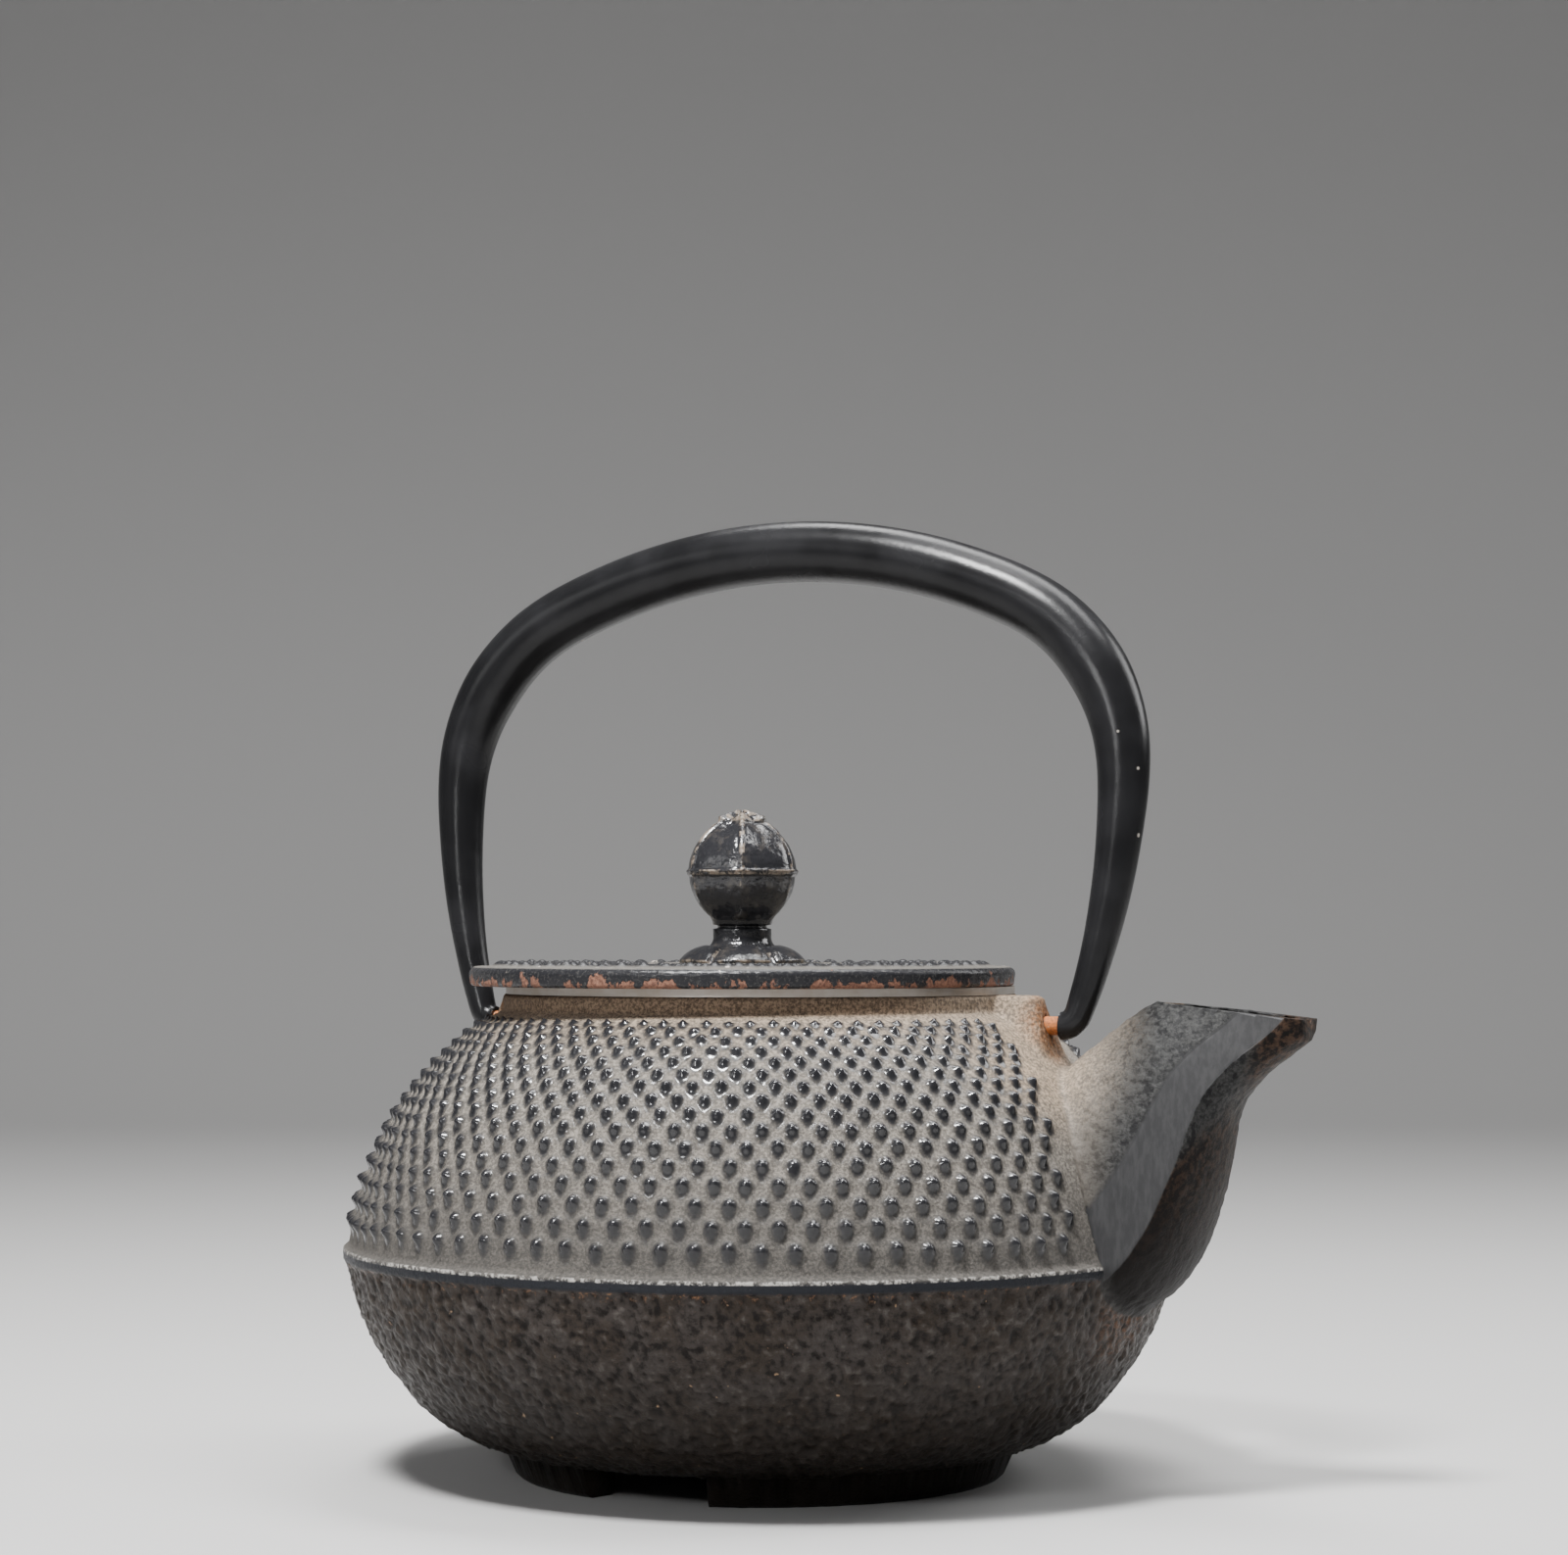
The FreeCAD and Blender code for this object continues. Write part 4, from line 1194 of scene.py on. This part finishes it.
def handle_paint():
    """Satin black paint with a faint grain and a few nicks."""
    paint = Paint("handle_paint")
    soft = paint.noise(14, 3, 0.5, seed=5)
    nick = paint.ramp(paint.cells(7.5), 0.062, 0.038)
    nick = paint.times(nick, paint.ramp(paint.noise(30, 1, 0.5, seed=7), 0.5, 0.56))
    colour = paint.mix(paint.ramp(soft, 0.35, 0.65), HANDLE_BLACK, HANDLE_SOFT)
    colour = paint.mix(nick, colour, NICK)
    rough = paint.blend(nick, paint.ramp(soft, 0.3, 0.7, (0.20, 0.28)), 0.7)
    return paint.finish(colour, rough, paint.bump(paint.noise(0.35, 3, 0.6), 0.025), specular=0.18)


def rusty_steel():
    paint = Paint("rusty_steel")
    fine = paint.noise(0.4, 5, 0.7)
    patch = paint.noise(1.6, 4, 0.6, seed=4)
    colour = paint.mix(paint.ramp(fine, 0.35, 0.65), PIN_ORANGE, PIN_BROWN)
    colour = paint.mix(paint.ramp(patch, 0.58, 0.72), colour, PIN_BARE)
    return paint.finish(colour, paint.ramp(patch, 0.4, 0.7, (0.75, 0.45)), paint.bump(fine, 0.15))


def fastener_steel():
    paint = Paint("fastener_steel")
    turned_marks = paint.noise(0.5, 3, 0.6, stretch=(0.15, 0.15, 1))
    stain = paint.noise(2.5, 4, 0.6, seed=3)
    colour = paint.mix(paint.ramp(stain, 0.45, 0.7), STEEL, STEEL_STAIN)
    rough = paint.ramp(stain, 0.4, 0.7, (0.28, 0.55))
    return paint.finish(colour, rough, paint.bump(turned_marks, 0.03), metallic=1.0)


def stained_steel(name, tea):
    """Satin stainless steel; tea is how far it is stained, from 0 to 1."""
    paint = Paint(name)
    brushed = paint.noise(0.35, 4, 0.6, stretch=(0.2, 0.2, 1.6))
    stain = paint.noise(4.0, 5, 0.62, seed=2)
    film = paint.times(paint.ramp(stain, 0.30, 0.75, (0.35, 0.75)), tea)
    colour = paint.mix(film, STAINLESS, TEA_FILM)
    rough = paint.ramp(brushed, 0.3, 0.7, (0.30, 0.46))
    return paint.finish(colour, rough, paint.bump(brushed, 0.02), metallic=1.0)


def enamel():
    """Glossy black enamel with a faint orange peel and a tea line."""
    paint = Paint("enamel")
    peel = paint.noise(2.6, 3, 0.5)
    film = paint.noise(9.0, 4, 0.6, seed=5)
    below = paint.ramp(paint.calc("ADD", paint.axis("Z"), paint.times(film, 3.0)), 66.5, 62.5)
    colour = paint.mix(paint.times(below, 0.6), ENAMEL_BLACK, TEA_BROWN)
    return paint.finish(colour, paint.ramp(film, 0.3, 0.7, (0.10, 0.22)), paint.bump(peel, 0.08))


# --- camera, light ---


VIEW_TURN = math.radians(25.0)
CAMERA_AWAY = 0.654
CAMERA_HEIGHT = 0.0968
CAMERA_LENS = 82.64
CAMERA_SHIFT = (0.015, 0.1019)
AIM_HEIGHT = 0.07
SKY_COLOUR = (0.64, 0.65, 0.68, 1)
SKY_STRENGTH = 0.16
SUN_PLACE = (-0.05, 0.12, 1.0)


def set_camera():
    """Level camera with the horizon below the middle of the frame, by lens shift."""
    camera_data = bpy.data.cameras.new("camera")
    camera_data.sensor_width = 36.0
    camera_data.sensor_fit = "HORIZONTAL"
    camera_data.lens = CAMERA_LENS
    camera_data.shift_x, camera_data.shift_y = CAMERA_SHIFT
    camera_data.clip_end = 50
    camera = bpy.data.objects.new("camera", camera_data)
    camera.location = from_camera(0, CAMERA_AWAY, CAMERA_HEIGHT)
    camera.rotation_euler = (math.pi / 2, 0, VIEW_TURN)
    bpy.context.scene.collection.objects.link(camera)
    bpy.context.scene.camera = camera


def from_camera(right, nearer, up):
    """A place given in metres from under the pot, as the camera sees it."""
    x = right * math.cos(VIEW_TURN) + nearer * math.sin(VIEW_TURN)
    y = right * math.sin(VIEW_TURN) - nearer * math.cos(VIEW_TURN)
    return Vector((AXIS_X + x, y, up))


def place_light(data, place, direction):
    light = bpy.data.objects.new(data.name, data)
    light.location = place
    light.rotation_euler = direction.to_track_quat("-Z", "Y").to_euler()
    bpy.context.scene.collection.objects.link(light)


def area_light(name, place, size, power):
    """A soft rectangle of light that looks at the pot."""
    data = bpy.data.lights.new(name, "AREA")
    data.shape = "RECTANGLE"
    data.size, data.size_y = size
    data.energy = power
    place = from_camera(*place)
    place_light(data, place, from_camera(0, 0, AIM_HEIGHT) - place)


def set_lights():
    world = bpy.data.worlds.new("studio")
    bpy.context.scene.world = world
    world.use_nodes = True
    background = world.node_tree.nodes["Background"]
    background.inputs["Color"].default_value = SKY_COLOUR
    background.inputs["Strength"].default_value = SKY_STRENGTH
    sun = bpy.data.lights.new("sky", "SUN")
    sun.energy = 0.9
    sun.angle = math.radians(16)
    place_light(sun, (0, 0, 0), -from_camera(*SUN_PLACE))
    area_light("key", (-0.16, 0.30, 0.72), (0.13, 0.13), 15.0)
    area_light("overhead", (0.12, -0.12, 0.70), (0.70, 0.22), 7.0)
    area_light("left", (-0.75, 0.35, 0.45), (0.30, 0.30), 0.7)
    area_light("low", (-0.40, 0.70, 0.36), (0.12, 0.12), 2.2)
    area_light("right", (0.70, -0.20, 0.50), (0.35, 0.45), 3.6)


FLOOR_COLOUR = (0.44, 0.435, 0.43, 1)


def set_floor():
    """Pale paper that lies flat under the pot and sweeps up behind it."""
    sweep = [(nearer, 0.0) for nearer in (3.0, 1.5, 0.5, 0.0, -0.6, -1.2)]
    for step in range(1, 17):
        angle = math.pi / 2 * step / 16
        sweep.append((-1.2 - 0.8 * math.sin(angle), 0.8 - 0.8 * math.cos(angle)))
    sweep += [(-2.0, 2.0), (-2.0, 4.0)]
    points = []
    for nearer, up in sweep:
        for right in (-5.0, 5.0):
            points.append((from_camera(right, nearer, up) - Vector((AXIS_X, 0, 0))) / MM)
    floor = make_object("floor", points, grid_faces(len(sweep), 2, wrap_columns=False))
    material = bpy.data.materials.new("floor")
    material.use_nodes = True
    shader = material.node_tree.nodes["Principled BSDF"]
    shader.inputs["Base Color"].default_value = FLOOR_COLOUR
    shader.inputs["Roughness"].default_value = 0.7
    floor.data.materials.append(material)


def new_piece(thing, body, slot, material, *nodes):
    """Give a piece its material and its body, and let it stand for CAD nodes."""
    dress(thing, material)
    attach(thing, body)
    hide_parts(*nodes)


set_camera()
set_lights()
set_floor()

new_piece(pot_casting(), "pot", "pot_iron", pot_iron(), "pot_bowl", "pot_dome", "pot_spout", "pot_feet")
new_piece(lid(), "lid", "lid_iron", lid_iron(), "lid_plate")
knob_paint = knob_iron()
new_piece(knob(), "lid", "knob_iron", knob_paint, "lid_knob")
new_piece(petal_seat(), "lid", "knob_iron", knob_paint, "knob_seat")
mesh_steel = stained_steel("mesh_steel", 0.55)
new_piece(mesh_wall(), "infuser", "infuser_mesh", mesh_steel, "infuser_mesh_wall")
new_piece(mesh_floor(), "infuser", "infuser_mesh", mesh_steel, "infuser_mesh_floor")

pin_steel = rusty_steel()
bright_steel = fastener_steel()
rim_steel = stained_steel("rim_steel", 0.8)
for node, material in {
    "enamel_lining": enamel(),
    "handle_tube": handle_paint(),
    "handle_pin_front": pin_steel,
    "handle_pin_rear": pin_steel,
    "knob_stud": bright_steel,
    "knob_washer": bright_steel,
    "knob_nut": bright_steel,
    "infuser_rim": rim_steel,
    "infuser_seam_strip": rim_steel,
    "infuser_bottom_ring": rim_steel,
}.items():
    dress(NODES[node], material)
